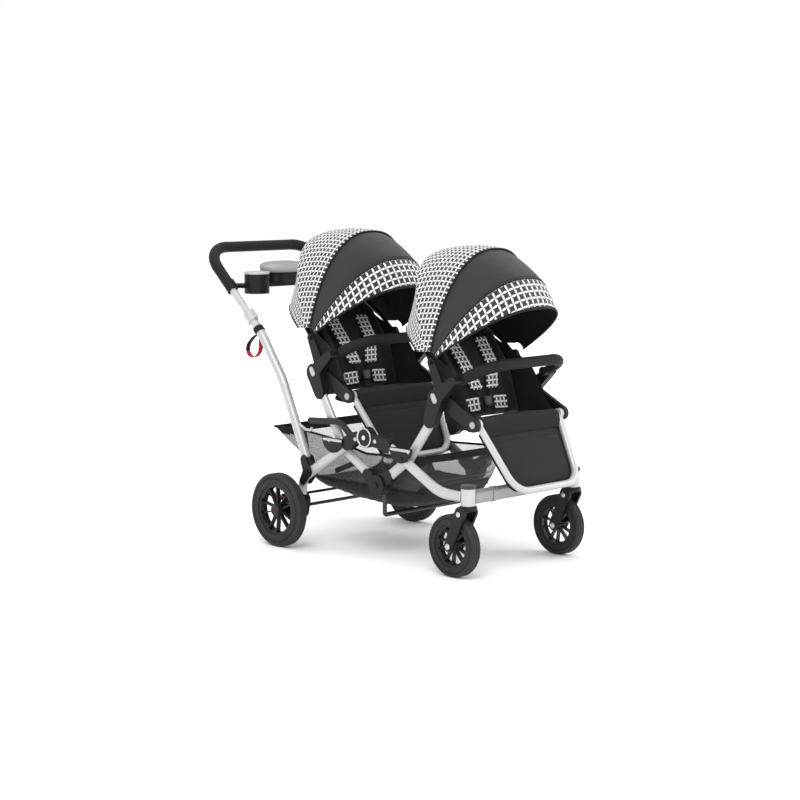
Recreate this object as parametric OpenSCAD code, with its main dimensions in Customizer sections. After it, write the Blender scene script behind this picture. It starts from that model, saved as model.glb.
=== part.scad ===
// Tandem double stroller with two forward-facing seats on a scissor frame.
// Millimetres, +Z up, front towards -Y, the rider's right-hand side at -X.
// The side view is drawn from a point on the floor under the rear axle, as [y, z] pairs.

/* [Wheels] */
// Rear tyre diameter
rear_wheel_d = 254; // [240:1:270]
// Front tyre diameter
front_wheel_d = 203; // [190:1:206]
// Width of the rear tyres
rear_tyre_w = 40; // [34:1:42]
// Width of the front tyres
front_tyre_w = 38; // [32:1:40]
// Distance between the middles of the rear tyres
rear_track = 652; // [645:1:680]
// Distance between the two caster stems
front_track = 510; // [500:1:520]
// Distance from the caster stems back to the front axles
caster_trail = 59.5; // [50:0.5:65]
// Diameter of the rear axle
axle_d = 12; // [8:0.5:14]

/* [Frame] */
// Distance from the rear axle forward to the caster stems
wheelbase = 824; // [810:1:850]
// Depth of the flat-oval frame tubes
tube_depth = 34; // [28:1:36]
// Width of the flat-oval frame tubes
tube_w = 22; // [18:1:22]
// Distance from the middle to the outer frame tubes
leg_x = 256; // [254:1:262]
// Distance from the middle to the seat posts
post_x = 231; // [228:1:231]
// Radius of the round hub discs
hub_r = 34; // [30:1:37]

/* [Handle] */
// Height of the handle bar
handle_z = 1008; // [980:1:1030]
// Distance of the handle bar behind the rear axle
handle_y = 473; // [450:1:500]
// Diameter of the foam grip
grip_d = 38; // [32:1:42]
// Diameter of the lower handle arms
arm_d = 32; // [30:0.5:34]
// Diameter of the sliding handle bar
bar_d = 25; // [20:0.5:26]

/* [Parent tray] */
// Inner radius of the cup holders
cup_r = 41; // [36:1:44]
// Depth of the cup holders
cup_depth = 70; // [55:1:74]

/* [Seats] */
// Distance between the two seats along the stroller
seat_pitch = 577; // [570:1:600]
// Height step down from the rear seat to the front seat
seat_drop = 42; // [30:1:50]
// Half width of the canopies
canopy_w = 218; // [205:1:222]
// Radius of the canopies at the middle bow
canopy_r = 374; // [350:1:380]
// Thickness of the canopy fabric
cloth = 3; // [2:0.5:4]
// Radius of the leg rest tube
leg_tube_r = 11; // [9:0.5:12]
// Radius of the foam on the bumper bars
bumper_r = 18; // [14:0.5:19]

/* [Basket] */
// Half width of the storage basket
basket_w = 200; // [180:1:201]
// Length of the basket along the stroller
basket_l = 674; // [600:1:690]

/* [Hidden] */
$fn = 48;

black = "#26262a";
silver = "#d9dadc";
charcoal = "#3c3c40";

// Clearances
seat_gap = 0.3;     // between pieces that only touch
bend_gap = 0.8;     // beside a tube's bend, which is fuller than its straight runs
run_gap = 0.08;     // radial, between a pin and what turns on it
loose_gap = 2;      // radial, at the one frame pivot that stays open

// Layers across the stroller, measured from the middle
outer_in = leg_x - tube_w / 2;
outer_out = leg_x + tube_w / 2;
inner_in = post_x - tube_w / 2;
inner_out = post_x + tube_w / 2;

// Side view of the frame
rear_r = rear_wheel_d / 2;
front_r = front_wheel_d / 2;
top_pivot = [-366, 408];
lower_pivot = [-400, 250];
rear_cross = [-228, 354];
front_cross = [-541, 354];
leg_foot = [-44, 150];
leg_bend = [-44, 232];
leg_top = [-292, 389.5];
front_leg_top = [-446, 399.5];
front_leg_bend = [-700, 264];
pin_r = 5;
head_r = 8;

// Side view of the handle
handle_pivot = [-85, 262];
arm_foot = [-66, 306];
arm_bend = [55, 566];
arm_end = [232, 782];
bar_point = [handle_y, handle_z];
bar_dir = unit(bar_point - arm_end);
arm_straight = 98;
bar_insert = 62;
grip_reach = 118;   // from the arm's end to the grip's lower edge

// Seat, measured from its recline hub
rear_hub = [-87, 601];
front_hub = rear_hub - [seat_pitch, seat_drop];
canopy_pivot = [54, 113];
knee = [-145, -71];
bumper_pivot = [-77, 64];
rear_post_top = [-30, -66];
front_post_top = [24, -72];
recline_x = 200;    // inner face of the recline discs
arm_x = 214;        // outer face of the recline arms

// Casters
fork_top = 236.6;
stem_r = 23;
stem_top = 292;
kingpin_r = 8;

// The part's middle along Y, from the front leg rest's tube to the handle grip
leg_tip = front_hub[0] + knee[0] - 127 - leg_tube_r;
middle_y = (leg_tip + handle_y + grip_d / 2) / 2;

function unit(v) = v / norm(v);
function yz(x, p) = [x, p[0], p[1]];
function turned(a) = [cos(a), sin(a)];

module from_axle() translate([0, -middle_y, 0]) children();
module both_sides() { children(); mirror([1, 0, 0]) children(); }
module at_rear_seat() from_axle() translate([0, rear_hub[0], rear_hub[1]]) children();
module at_front_seat() from_axle() translate([0, front_hub[0], front_hub[1]]) children();

// A rod or bar of one section along a path of straight runs joined by round bends.
// The section's first axis lies in the plane of the bend, its second along its normal.
// A bend is slightly fuller than the runs, whose ends reach a little way into it.
bend_fuller = 1.03;
bend_reach = 0.6;
module place(at, x, y, z) {
    multmatrix([[x[0], y[0], z[0], at[0]], [x[1], y[1], z[1], at[1]], [x[2], y[2], z[2], at[2]], [0, 0, 0, 1]])
        children();
}
module swept(path, bend, normal = [1, 0, 0]) {
    n = len(path);
    dirs = [for (i = [0:n - 2]) unit(path[i + 1] - path[i])];
    turn = [for (i = [0:n - 1]) i == 0 || i == n - 1 ? 0 : acos(dirs[i - 1] * dirs[i])];
    cut = [for (t = turn) t > 0 ? bend * tan(t / 2) - bend_reach : 0];
    for (i = [0:n - 2]) {
        run = norm(path[i + 1] - path[i]) - cut[i] - cut[i + 1];
        across = cross(normal, dirs[i]);
        side = norm(across) > 0.01 ? unit(across) : [0, 1, 0];
        place(path[i] + dirs[i] * cut[i], side, cross(dirs[i], side), dirs[i])
            linear_extrude(run) children();
    }
    for (i = [1:n - 2]) if (turn[i] > 0) {
        up = unit(cross(dirs[i - 1], dirs[i]));
        out = cross(dirs[i - 1], up);
        start = path[i] - dirs[i - 1] * bend * tan(turn[i] / 2);
        place(start - out * bend, out, dirs[i - 1], up)
            rotate_extrude(angle = turn[i]) translate([bend, 0]) scale(bend_fuller) children();
    }
}
// Flat-oval tube section, long across the tube and narrow along X
module oval(depth, width) {
    square([depth - width, width], center = true);
    for (s = [-1, 1]) translate([s * (depth - width) / 2, 0]) circle(d = width);
}
// Plate outline between two round ends, in the side view; its waist is a hair inside their tangents
link_waist = 0.06;
module link2d(p, q, rp, rq) {
    a = atan2(q[1] - p[1], q[0] - p[0]);
    b = acos((rp - rq) / norm(q - p));
    wp = rp - link_waist;
    wq = rq - link_waist;
    polygon([p + wp * turned(a - b), q + wq * turned(a - b), q + wq * turned(a + b), p + wp * turned(a + b)]);
    translate(p) circle(rp);
    translate(q) circle(rq);
}
// Turns a side view outline into a plate from x0 to x1
module plate(x0, x1) {
    place([x0, 0, 0], [0, 1, 0], [0, 0, 1], [1, 0, 0]) linear_extrude(x1 - x0) children();
}
// A round pin across the stroller at a side view point
module cross_pin(p, r, x0, x1) plate(x0, x1) translate(p) circle(r);

// Rear legs: from the axle brackets up to the top hub
module rear_legs() color(silver) from_axle() both_sides() difference() {
    swept([yz(leg_x, leg_foot), yz(leg_x, leg_bend), yz(leg_x, leg_top)], 60) oval(tube_depth, tube_w);
    cross_pin(rear_cross, pin_r + seat_gap, outer_in - 5, outer_out + 5);
    cross_pin(handle_pivot, pin_r + run_gap, outer_in - 5, outer_out + 5);
}
// Front legs: from the top hub down to the caster stems
module front_legs() color(silver) from_axle() both_sides() difference() {
    swept([yz(leg_x, front_leg_top), yz(leg_x, front_leg_bend), [leg_x, 0.5 + stem_r - wheelbase, 262]], 180)
        oval(tube_depth, tube_w);
    cross_pin(front_cross, pin_r + seat_gap, outer_in - 5, outer_out + 5);
}
// Black brackets that carry the rear axle inboard of the wheels
bracket_out = rear_track / 2 - rear_tyre_w / 2 - 6;
module axle_brackets() color(black) from_axle() both_sides() difference() {
    union() {
        plate(outer_in - 3, bracket_out - 8) link2d([-44, 158], [-38, 120], 26, 24);
        plate(outer_in - 3, bracket_out) link2d([-40, rear_r], [0, rear_r], 20, 19);
        plate(outer_in, outer_in + 20) link2d([0, rear_r], brake_axis, 15, 11);
    }
    swept([yz(leg_x, leg_foot - [0, seat_gap]), yz(leg_x, leg_bend)], 60)
        oval(tube_depth + 2 * seat_gap, tube_w + 2 * seat_gap);
    cross_pin([0, rear_r], axle_d / 2 + seat_gap, 0, 400);
    cross_pin(brake_axis, brake_rod_r + run_gap, 0, 400);
}
// Rear axle: one steel rod through both brackets and both wheels
module rear_axle() color("#55565a") from_axle()
    cross_pin([0, rear_r], axle_d / 2, -axle_half, axle_half);
axle_half = rear_track / 2 + rear_tyre_w / 2 - 3;

// Top hub: the rear half is clamped to the rear leg, the front half turns on its pin
hub_mid = leg_x;
rear_clamp = [[-278, 380], [-316, 402]];
front_clamp = [[-462, 391], [-428, 402]];
clamp_r = 24;
module top_hub_rear() color(black) from_axle() both_sides() difference() {
    union() {
        plate(outer_in - 2, hub_mid - seat_gap) translate(top_pivot) circle(hub_r);
        difference() {
            plate(outer_in - 3, outer_out + 3) link2d(rear_clamp[0], rear_clamp[1], clamp_r, 20);
            plate(outer_in - 9, outer_out + 9) translate(top_pivot) circle(hub_r + 1);
        }
        plate(outer_in - 3, hub_mid - seat_gap) link2d([-300, 394], top_pivot, 21, 21);
    }
    plate(outer_out, outer_out + 9) translate(rear_moon) circle(moon_r + seat_gap);
    swept([yz(leg_x, [-200, 331]), yz(leg_x, leg_top - seat_gap * [1, -0.6])], 10)
        oval(tube_depth + 2 * seat_gap, tube_w + 2 * seat_gap);
    cross_pin(top_pivot, pin_r + seat_gap, 0, 400);
}
module top_hub_front() color(black) from_axle() both_sides() difference() {
    union() {
        plate(hub_mid, outer_out + 4) translate(top_pivot) circle(hub_r);
        difference() {
            plate(outer_in - 3, outer_out + 3) link2d(front_clamp[0], front_clamp[1], clamp_r, 20);
            plate(outer_in - 9, outer_out + 9) translate(top_pivot) circle(hub_r + 1);
        }
        plate(hub_mid, outer_out + 3) link2d([-440, 398], top_pivot, 21, 21);
    }
    swept([yz(leg_x, [-560, 338.7]), yz(leg_x, front_leg_top + seat_gap * [1, 0.5])], 10)
        oval(tube_depth + 2 * seat_gap, tube_w + 2 * seat_gap);
    cross_pin(top_pivot, pin_r + run_gap, 0, 400);
}
// Pins: riveted through the top hub and the rear crossing
module frame_pins() color("#b9babd") from_axle() both_sides() {
    cross_pin(top_pivot, pin_r, outer_in - 2, outer_out + 6);
    cross_pin(top_pivot, head_r, outer_out + 4 + seat_gap, outer_out + 7);
}
moon_r = 50;
rear_moon = [-215, 392];
// Half-moon brackets at the two crossings; each carries the pivot pin of a seat post
module half_moon(top, pivot) {
    plate(outer_out + seat_gap, outer_out + 7) difference() {
        translate(top) circle(moon_r);
        translate(top + [-60, 0]) square([120, 60]);
    }
    cross_pin(pivot, pin_r, inner_in - 3, outer_out + 7);
    cross_pin(pivot, head_r, outer_out + 7, outer_out + 9);
    cross_pin(pivot, head_r, inner_in - 3, inner_in - 0.5);
}
module rear_cross_brackets() color(black) from_axle() both_sides() half_moon(rear_moon, rear_cross);
module front_cross_brackets() color(black) from_axle() both_sides() half_moon([-538, 392], front_cross);

// Curved rails from the top hub back to the handle's latch
module latch_rails() color(charcoal) from_axle() both_sides() difference() {
    swept([[leg_x, -286, 407], [leg_x, -235, 448], [leg_x, -84, 438]], 70) circle(11);
    plate(0, 400) link2d(rear_clamp[0], rear_clamp[1], clamp_r + seat_gap, 20 + seat_gap);
}

// Seat posts: the rear pair crosses the rear legs, the front pair crosses the front legs
lower_r = 36;
post_start = lower_r + 2;
module rear_seat_posts() color(silver) from_axle() both_sides() difference() {
    swept([yz(post_x, lower_pivot + post_start * unit(rear_cross - lower_pivot)), yz(post_x, rear_cross),
        yz(post_x, rear_hub + rear_post_top)], 40) oval(tube_depth, tube_w);
    cross_pin(rear_cross, pin_r + run_gap, inner_in - 5, inner_out + 5);
}
module front_seat_posts() color(silver) from_axle() both_sides() difference() {
    swept([yz(post_x, lower_pivot + post_start * unit(front_cross - lower_pivot)), yz(post_x, front_cross),
        yz(post_x, front_hub + front_post_top)], 40) oval(tube_depth, tube_w);
    cross_pin(front_cross, pin_r + run_gap, inner_in - 5, inner_out + 5);
}
// Lower hub: the rear half carries the pin, the front half sits on it with room to move
module lower_clamp(from, x0, x1) {
    along = unit(from - lower_pivot);
    difference() {
        plate(inner_in - 3, inner_out + 3) link2d(lower_pivot + 40 * along, lower_pivot + 56 * along, 21, 21);
        plate(inner_in - 9, inner_out + 9) translate(lower_pivot) circle(lower_r + 4);
        swept([yz(post_x, lower_pivot + (post_start - seat_gap) * along), yz(post_x, lower_pivot + 90 * along)], 10)
            oval(tube_depth + 2 * seat_gap, tube_w + 2 * seat_gap);
    }
    difference() {
        plate(x0, x1) link2d(lower_pivot, lower_pivot + 52 * along, 21, 21);
        swept([yz(post_x, lower_pivot + (post_start - seat_gap) * along), yz(post_x, lower_pivot + 90 * along)], 10)
            oval(tube_depth + 2 * seat_gap, tube_w + 2 * seat_gap);
    }
}
module lower_hub_rear() color(black) from_axle() both_sides() {
    lower_clamp(rear_cross, inner_in - 2, post_x - seat_gap);
    plate(inner_in - 2, post_x - seat_gap) translate(lower_pivot) circle(lower_r);
    cross_pin(lower_pivot, pin_r, post_x - 2, inner_out + 14);
    cross_pin(lower_pivot, head_r + 2, inner_out + 10 + seat_gap, inner_out + 14);
    cross_pin(lower_pivot, 16, hoop_x + hoop_r + seat_gap, inner_in - 2);
}
module lower_hub_front() color(black) from_axle() both_sides() difference() {
    union() {
        lower_clamp(front_cross, post_x, inner_out + 3);
        plate(post_x, inner_out + 10) translate(lower_pivot) circle(lower_r);
    }
    cross_pin(lower_pivot, pin_r + loose_gap, 0, 400);
}
// Flat brace links riveted to the rear seat posts
module strut_links() color(black) from_axle() both_sides() {
    plate(inner_in - 7, inner_in - seat_gap) link2d([-290, 316], [-178, 272], 9, 9);
    cross_pin([-290, 316], 6, inner_in - 9, inner_in - 7);
    cross_pin([-178, 272], 6, inner_in - 9, inner_in - 7);
}

// Front crossbar between the two caster stems
module front_crossbar() color("#8f9094") from_axle() {
    x1 = front_track / 2 - stem_r - 0.6;
    place([-x1, -wheelbase, 262], [0, 0, 1], [0, -1, 0], [1, 0, 0]) linear_extrude(2 * x1) oval(46, 24);
    place([-150, -wheelbase, 262], [0, 0, 1], [0, -1, 0], [1, 0, 0]) linear_extrude(22) oval(50, 30);
}
// Caster stems: silver cups with scalloped caps, bored for the forks' kingpins
module caster_stems() color(silver) from_axle() both_sides() translate([front_track / 2, -wheelbase, 0]) {
    difference() {
        translate([0, 0, fork_top + 1]) cylinder(r = stem_r, h = stem_top - fork_top - 1);
        cylinder(r = kingpin_r + run_gap, h = stem_top - 6);
    }
    color(black) translate([0, 0, stem_top + 0.1]) difference() {
        cylinder(r = stem_r + 1.5, h = 11);
        for (i = [0:9]) rotate(i * 36) translate([stem_r + 4, 0, -1]) cylinder(r = 5, h = 14);
    }
}

// Caster fork: crown, kingpin, two trailing legs and the axle bolt
fork_in = front_tyre_w / 2 + 3;
module fork() {
    color(black) difference() {
        union() {
            translate([0, 0, fork_top - 14]) cylinder(r = 27, h = 14);
            cylinder_from([0, 0, fork_top - 1], kingpin_r, stem_top - 8 - fork_top);
            for (s = [-1, 1]) mirror([s < 0 ? 1 : 0, 0, 0]) {
                plate(fork_in, fork_in + 9) link2d([8, fork_top - 22], [caster_trail, front_r], 22, 17);
                plate(4, fork_in + 9) link2d([0, fork_top - 12], [16, fork_top - 18], 11, 11);
            }
        }
        cross_pin([caster_trail, front_r], fork_bolt_r + seat_gap, -60, 60);
    }
    color("#b9babd") {
        cross_pin([caster_trail, front_r], fork_bolt_r, -fork_in - 11, fork_in + 11);
        for (x = [-fork_in - 11, fork_in + 9 + seat_gap]) cross_pin([14, fork_top - 26], 6, x, x + 1.7);
    }
}
fork_bolt_r = 5;
module cylinder_from(at, r, h) translate(at) cylinder(r = r, h = h);
module at_stem(side) from_axle() translate([side * front_track / 2, -wheelbase, 0]) children();
module left_fork() at_stem(1) fork();
module right_fork() at_stem(-1) fork();

// Wheels: a treaded tyre on a five twin-spoke rim
rim_lip = 0.68;     // the rim's outer radius, as a share of the tyre's
module tyre(r, w) color("#3b3c3f") place([-w / 2, 0, 0], [0, 1, 0], [0, 0, 1], [1, 0, 0]) difference() {
    rotate_extrude() translate([0, w / 2]) difference() {
        translate([r * rim_lip + 0.1, -w / 2]) square([r * (1 - rim_lip) - 0.1, w]);
        for (s = [-1, 1]) translate([r, s * w / 2]) rotate(45) square(9, center = true);
        for (s = [-1, 1]) translate([r * 0.86, s * w / 2]) circle(2);
        for (x = [-w / 6, w / 6]) translate([r + 0.6, x]) circle(2.2);
    }
}
module rim(r, w, bore, depth) color(black) place([-w / 2, 0, 0], [0, 1, 0], [0, 0, 1], [1, 0, 0]) difference() {
    union() {
        rotate_extrude() polygon([[r * rim_lip - 8, 3], [r * rim_lip, 1], [r * rim_lip, w - 1],
            [r * rim_lip - 8, w - 3], [r * rim_lip - 4, w / 2]]);
        cylinder(r = r * 0.17, h = w);
        translate([0, 0, w]) cylinder(r = r * 0.15, h = 1.5);
        for (i = [0:4]) for (s = [-1, 1]) rotate(i * 72 + s * 12) translate([0, s * 3 - 2.5, w * 0.28])
            cube([r * rim_lip - 5, 5, w * 0.44]);
    }
    translate([0, 0, -1]) cylinder(r = bore + run_gap, h = depth + 1);
}
module at_rear_wheel(side) from_axle() translate([side * rear_track / 2, 0, rear_r]) mirror([side < 0 ? 1 : 0, 0, 0])
    children();
module at_front_wheel(side) at_stem(side) translate([0, caster_trail, front_r]) mirror([side < 0 ? 1 : 0, 0, 0])
    children();
module left_rear_tyre() at_rear_wheel(1) tyre(rear_r, rear_tyre_w);
module right_rear_tyre() at_rear_wheel(-1) tyre(rear_r, rear_tyre_w);
module left_rear_rim() at_rear_wheel(1) rim(rear_r, rear_tyre_w - 4, axle_d / 2, rear_tyre_w - 4.5);
module right_rear_rim() at_rear_wheel(-1) rim(rear_r, rear_tyre_w - 4, axle_d / 2, rear_tyre_w - 4.5);
module left_front_tyre() at_front_wheel(1) tyre(front_r, front_tyre_w);
module right_front_tyre() at_front_wheel(-1) tyre(front_r, front_tyre_w);
module left_front_rim() at_front_wheel(1) rim(front_r, front_tyre_w - 4, fork_bolt_r, front_tyre_w);
module right_front_rim() at_front_wheel(-1) rim(front_r, front_tyre_w - 4, fork_bolt_r, front_tyre_w);

// Brake: one cross rod with a red lever beside each rear wheel
brake_axis = [48, 158];
brake_rod_r = 5;
module brake_pedal() color("#b4161b") from_axle() {
    cross_pin(brake_axis, brake_rod_r, 4 - bracket_out, bracket_out - 4);
    both_sides() plate(bracket_out - 22, bracket_out - 4) {
        link2d(brake_axis, brake_axis + [34, 10], 9, 7);
        link2d(brake_axis, brake_axis + [-14, -2], 9, 6);
    }
}

// Storage basket: an open fabric tub slung between the legs
basket_back = 114;
basket_front = basket_back - basket_l;
module basket_side(inset) {
    rise = inset > 0 ? 60 : 0;      // the inside runs out past the open top
    polygon([[basket_back - inset + 0.38 * rise, 398 + rise], [basket_back - 22 - inset, 340],
        [-16 - inset, 186 + inset], [-200, 164 + inset], [-400, 154 + inset],
        [basket_front + 60 + inset, 176 + inset], [basket_front + inset, 250],
        [basket_front + inset, 352 + rise], [-300, 340 + rise], [-120, 376 + rise]]);
}
module basket_plan(inset) {
    w = basket_w - inset;
    wide = leg_x - inset;
    polygon([[-w + 16, basket_front - 1], [w - 16, basket_front - 1], [w, basket_front + 60], [w, 34], [wide, 62],
        [wide, basket_back + 1], [-wide, basket_back + 1], [-wide, 62], [-w, 34], [-w, basket_front + 60]]);
}
module basket_body(inset) intersection() {
    plate(-300, 300) basket_side(inset);
    translate([0, 0, 100]) linear_extrude(400) basket_plan(inset);
}
module basket() color("#1d1d20") from_axle() difference() {
    basket_body(0);
    basket_body(cloth);
}
// Wire hoop that carries the basket's floor, hung from the lower hub
hoop_r = 7.5;
hoop_x = basket_w + hoop_r + seat_gap;
module basket_hoop() color(black) from_axle()
    swept([[-hoop_x, -400, 250], [-hoop_x, -400, 154 - hoop_r - seat_gap], [hoop_x, -400, 154 - hoop_r - seat_gap],
        [hoop_x, -400, 250]], 9, [0, 1, 0]) circle(hoop_r);

// Handle: pivot brackets, lower arms with collars and latch hooks, sliding bar, grip
module handle_pivots() color(black) from_axle() both_sides() {
    difference() {
        for (x = [outer_in - 6 - bend_gap, outer_out + bend_gap]) plate(x, x + 6) {
            link2d(handle_pivot + [22, -34], handle_pivot, 14, 20);
            link2d(handle_pivot, arm_foot + [-2, -4], 20, 16);
        }
        swept(arm_path, 260) circle(d = arm_d + 2 * seat_gap);
    }
    cross_pin(handle_pivot, pin_r, outer_in - 6, outer_out + 6);
    cross_pin(handle_pivot, head_r, outer_out + 6, outer_out + 10);
}
arm_path = [yz(leg_x, arm_foot), yz(leg_x, arm_bend), yz(leg_x, arm_end - arm_straight * bar_dir),
    yz(leg_x, arm_end)];
module handle_arms() from_axle() both_sides() {
    color(silver) difference() {
        swept(arm_path, 260) circle(d = arm_d);
        swept([yz(leg_x, arm_end - (bar_insert + 2) * bar_dir), yz(leg_x, arm_end + 4 * bar_dir)], 1)
            circle(d = bar_d + 2 * run_gap);
    }
    color("#c9cacc") difference() {
        swept([yz(leg_x, arm_end - 34 * bar_dir), yz(leg_x, arm_end + 4 * bar_dir)], 1) {
            circle(d = arm_d + 8);
            translate([arm_d / 2 - 2, -6]) square([14, 12]);
        }
        swept([yz(leg_x, arm_end - 36 * bar_dir), yz(leg_x, arm_end + seat_gap * bar_dir)], 1)
            circle(d = arm_d + 2 * seat_gap);
        swept([yz(leg_x, arm_end - 4 * bar_dir), yz(leg_x, arm_end + 6 * bar_dir)], 1)
            circle(d = bar_d + 2 * seat_gap);
    }
    color(silver) swept([[leg_x, -30, 420], [leg_x, -62, 404], [leg_x, -88, 404], [leg_x, -94, 414]], 8) circle(4.5);
}
slider_path = [yz(-leg_x, arm_end - bar_insert * bar_dir), yz(-leg_x, bar_point), yz(leg_x, bar_point),
    yz(leg_x, arm_end - bar_insert * bar_dir)];
grip_path = [yz(-leg_x, arm_end + grip_reach * bar_dir), yz(-leg_x, bar_point), yz(leg_x, bar_point),
    yz(leg_x, arm_end + grip_reach * bar_dir)];
module handle_bar() color(silver) from_axle() swept(slider_path, 100) circle(d = bar_d);
module handle_grip() color("#2c2c2f") from_axle() difference() {
    swept(grip_path, 100) circle(d = grip_d);
    swept(slider_path, 100) circle(d = bar_d + 0.2);
}

// Parent tray: two cup holders and a covered middle bin, clipped to the grip
tray_z = 870;
tray_y = 330;
cup_y = 300;
cup_x = 160;
cup_top = 922;
module tray() color(black) from_axle() difference() {
    union() {
        translate([-228, tray_y - 34, tray_z]) cube([456, 68, 14]);
        for (s = [-1, 1]) translate([s * cup_x, cup_y, cup_top - cup_depth - 3])
            cylinder(r = cup_r + 3.5, h = cup_depth + 3);
        translate([0, tray_y, tray_z + 3]) linear_extrude(46) oval(170, 84);
        for (s = [-1, 1]) tray_clip(s);
    }
    for (s = [-1, 1]) translate([s * cup_x, cup_y, cup_top - cup_depth]) cylinder(r = cup_r, h = cup_depth + 9);
    translate([0, tray_y, tray_z + 8]) linear_extrude(60) oval(162, 76);
}
module tray_clip(s) {
    at = arm_end + 138 * bar_dir;
    difference() {
        swept([yz(s * leg_x, at - 15 * bar_dir), yz(s * leg_x, at + 15 * bar_dir)], 1) circle(d = grip_d + 9);
        swept([yz(s * leg_x, at - 25 * bar_dir), yz(s * leg_x, at + 25 * bar_dir)], 1)
            circle(d = grip_d + 2 * seat_gap);
        translate([s * (leg_x + 40), at[0], at[1]]) cube([80, 80, 80], center = true);
    }
    plate(s > 0 ? 226 : -leg_x + grip_d / 2 + 3, s > 0 ? leg_x - grip_d / 2 - 3 : -226)
        translate([tray_y - 20, tray_z]) square([34, 14]);
}
module tray_lid() color("#a8a9ac") from_axle() translate([0, tray_y, tray_z + 49 + seat_gap]) {
    linear_extrude(5) oval(172, 86);
    translate([0, 0, 5]) linear_extrude(5) oval(150, 64);
    translate([-12, -52, 0]) cube([24, 14, 4]);
}

// Seat frame: the hub housings on the posts, the side arms to the knee discs and the bumper pivots
knee_in = 207;
knee_bore = 7;
recline_pin = 9;
bumper_pin = 6;
button_at = [0, 4];
button_turn = 60;
module seat_frame(post_top, post_from) color(black) both_sides() difference() {
    union() {
        plate(inner_in, inner_out + 4) {
            link2d(post_top, [0, 0], 23, 31);
            link2d([0, 0], bumper_pivot, 24, 15);
        }
        plate(knee_in, inner_in) link2d([0, 0], knee, 26, 24);
        cross_pin(bumper_pivot, bumper_pin, bumper_x - 8, inner_in);
        cross_pin([0, 0], recline_pin, recline_x - 4, knee_in);
    }
    swept([yz(post_x, post_from), yz(post_x, post_top + seat_gap * unit(post_top - post_from))], 10)
        oval(tube_depth + 2 * seat_gap, tube_w + 2 * seat_gap);
    plate(inner_out - 6, inner_out + 9) translate(button_at) rotate(button_turn)
        oval(34 + 2 * seat_gap, 18 + 2 * seat_gap);
    cross_pin(knee, knee_bore, 0, 400);
}
// Grey oval release buttons in the hub housings
module seat_button(side) color("#9a9b9e") mirror([side < 0 ? 1 : 0, 0, 0]) plate(inner_out - 2, inner_out + 7)
    translate(button_at) rotate(button_turn) oval(34, 18);

// Seat pan: a padded cushion between the side arms
module seat_pad() color("#1b1b1e") {
    profile = [[-129, -56], [-24, -80], [-24, -112], [-127, -90]];
    intersection() {
        plate(seat_gap - knee_in, knee_in - seat_gap) polygon(profile);
        linear_extrude(400, center = true) {
            translate([-182, -140]) square([364, 140]);
            translate([seat_gap - knee_in, -104]) square([2 * (knee_in - seat_gap), 104]);
        }
    }
}
// Back frame: recline discs on the hubs, arms to the canopy pivots and the top rail
canopy_pin = 7;
rail_r = 7;
module back_frame() color(black) {
    both_sides() difference() {
        plate(recline_x - 3, knee_in - seat_gap) {
            circle(34);
            link2d([0, 0], canopy_pivot, 24, 15);
        }
        cross_pin([0, 0], recline_pin + run_gap, 0, 400);
    }
    both_sides() cross_pin(canopy_pivot, canopy_pin, knee_in - seat_gap, canopy_w - cloth);
    swept([[-recline_x, 40, 95], [-188, 118, 172], [-150, 190, 243], [150, 190, 243], [188, 118, 172],
        [recline_x, 40, 95]], 45) circle(rail_r);
}
// Padded seat back
back_front = [[1, -83], [37, 71], [117, 179], [182, 237]];
back_rear = [[205, 214], [147, 156], [72, 61], [36, -86]];
module back_pad() color("#1b1b1e") intersection() {
    plate(-179, 179) polygon(concat(back_front, back_rear));
    place([0, 300, 0], [1, 0, 0], [0, 0, 1], [0, -1, 0]) linear_extrude(400)
        polygon([[-179, -100], [179, -100], [179, 168], [120, 240], [-120, 240], [-179, 168]]);
}
// Five-point harness: shoulder pads, waist strap and buckle, lying on the seat back
module harness() color("#e4e4e4") {
    upper = unit(back_front[2] - back_front[1]);
    lower = unit(back_front[1] - back_front[0]);
    for (x = [-78, 36]) plate(x, x + 42) {
        polygon([for (p = [[0, seat_gap], [104, seat_gap], [104, 11], [4, 11]])
            back_front[1] + p[0] * upper + p[1] * [-upper[1], upper[0]]]);
        polygon([for (p = [[0, seat_gap], [-92, seat_gap], [-92, 11], [4, 11]])
            back_front[1] + p[0] * lower + p[1] * [-lower[1], lower[0]]]);
    }
    plate(-140, 140) polygon([for (p = [[-122, seat_gap], [-90, seat_gap], [-90, 6], [-122, 6]])
        back_front[1] + p[0] * lower + p[1] * [-lower[1], lower[0]]]);
    plate(-24, 24) polygon([for (p = [[-128, 6], [-84, 6], [-84, 19], [-128, 19]])
        back_front[1] + p[0] * lower + p[1] * [-lower[1], lower[0]]]);
}

// Canopy: arches of one rounded-box shape turned about the canopy pivot; angles lean
// back from upright when negative. The hood's shell runs just under the back panel's.
bow_back = -22;
bow_mid = 14;
bow_front = 58;
canopy_foot = [209, 216];
canopy_n = 2.4;
arch_steps = 28;
arch_from = 4;
hood_drop = 5;
function arch_r(a) = canopy_r - (a > bow_mid ? 31 * pow((a - bow_mid) / 44, 1.3) : 0);
function arch(a, inset) = [for (i = [0:arch_steps]) let (
    t = arch_from + (180 - 2 * arch_from) * i / arch_steps,
    r = (arch_r(a) - inset) * pow(sin(t), 2 / canopy_n),
    x = (canopy_w - inset) * sign(cos(t)) * pow(abs(cos(t)), 2 / canopy_n))
    [x, canopy_pivot[0] - r * sin(a), canopy_pivot[1] + r * cos(a)]];
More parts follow.
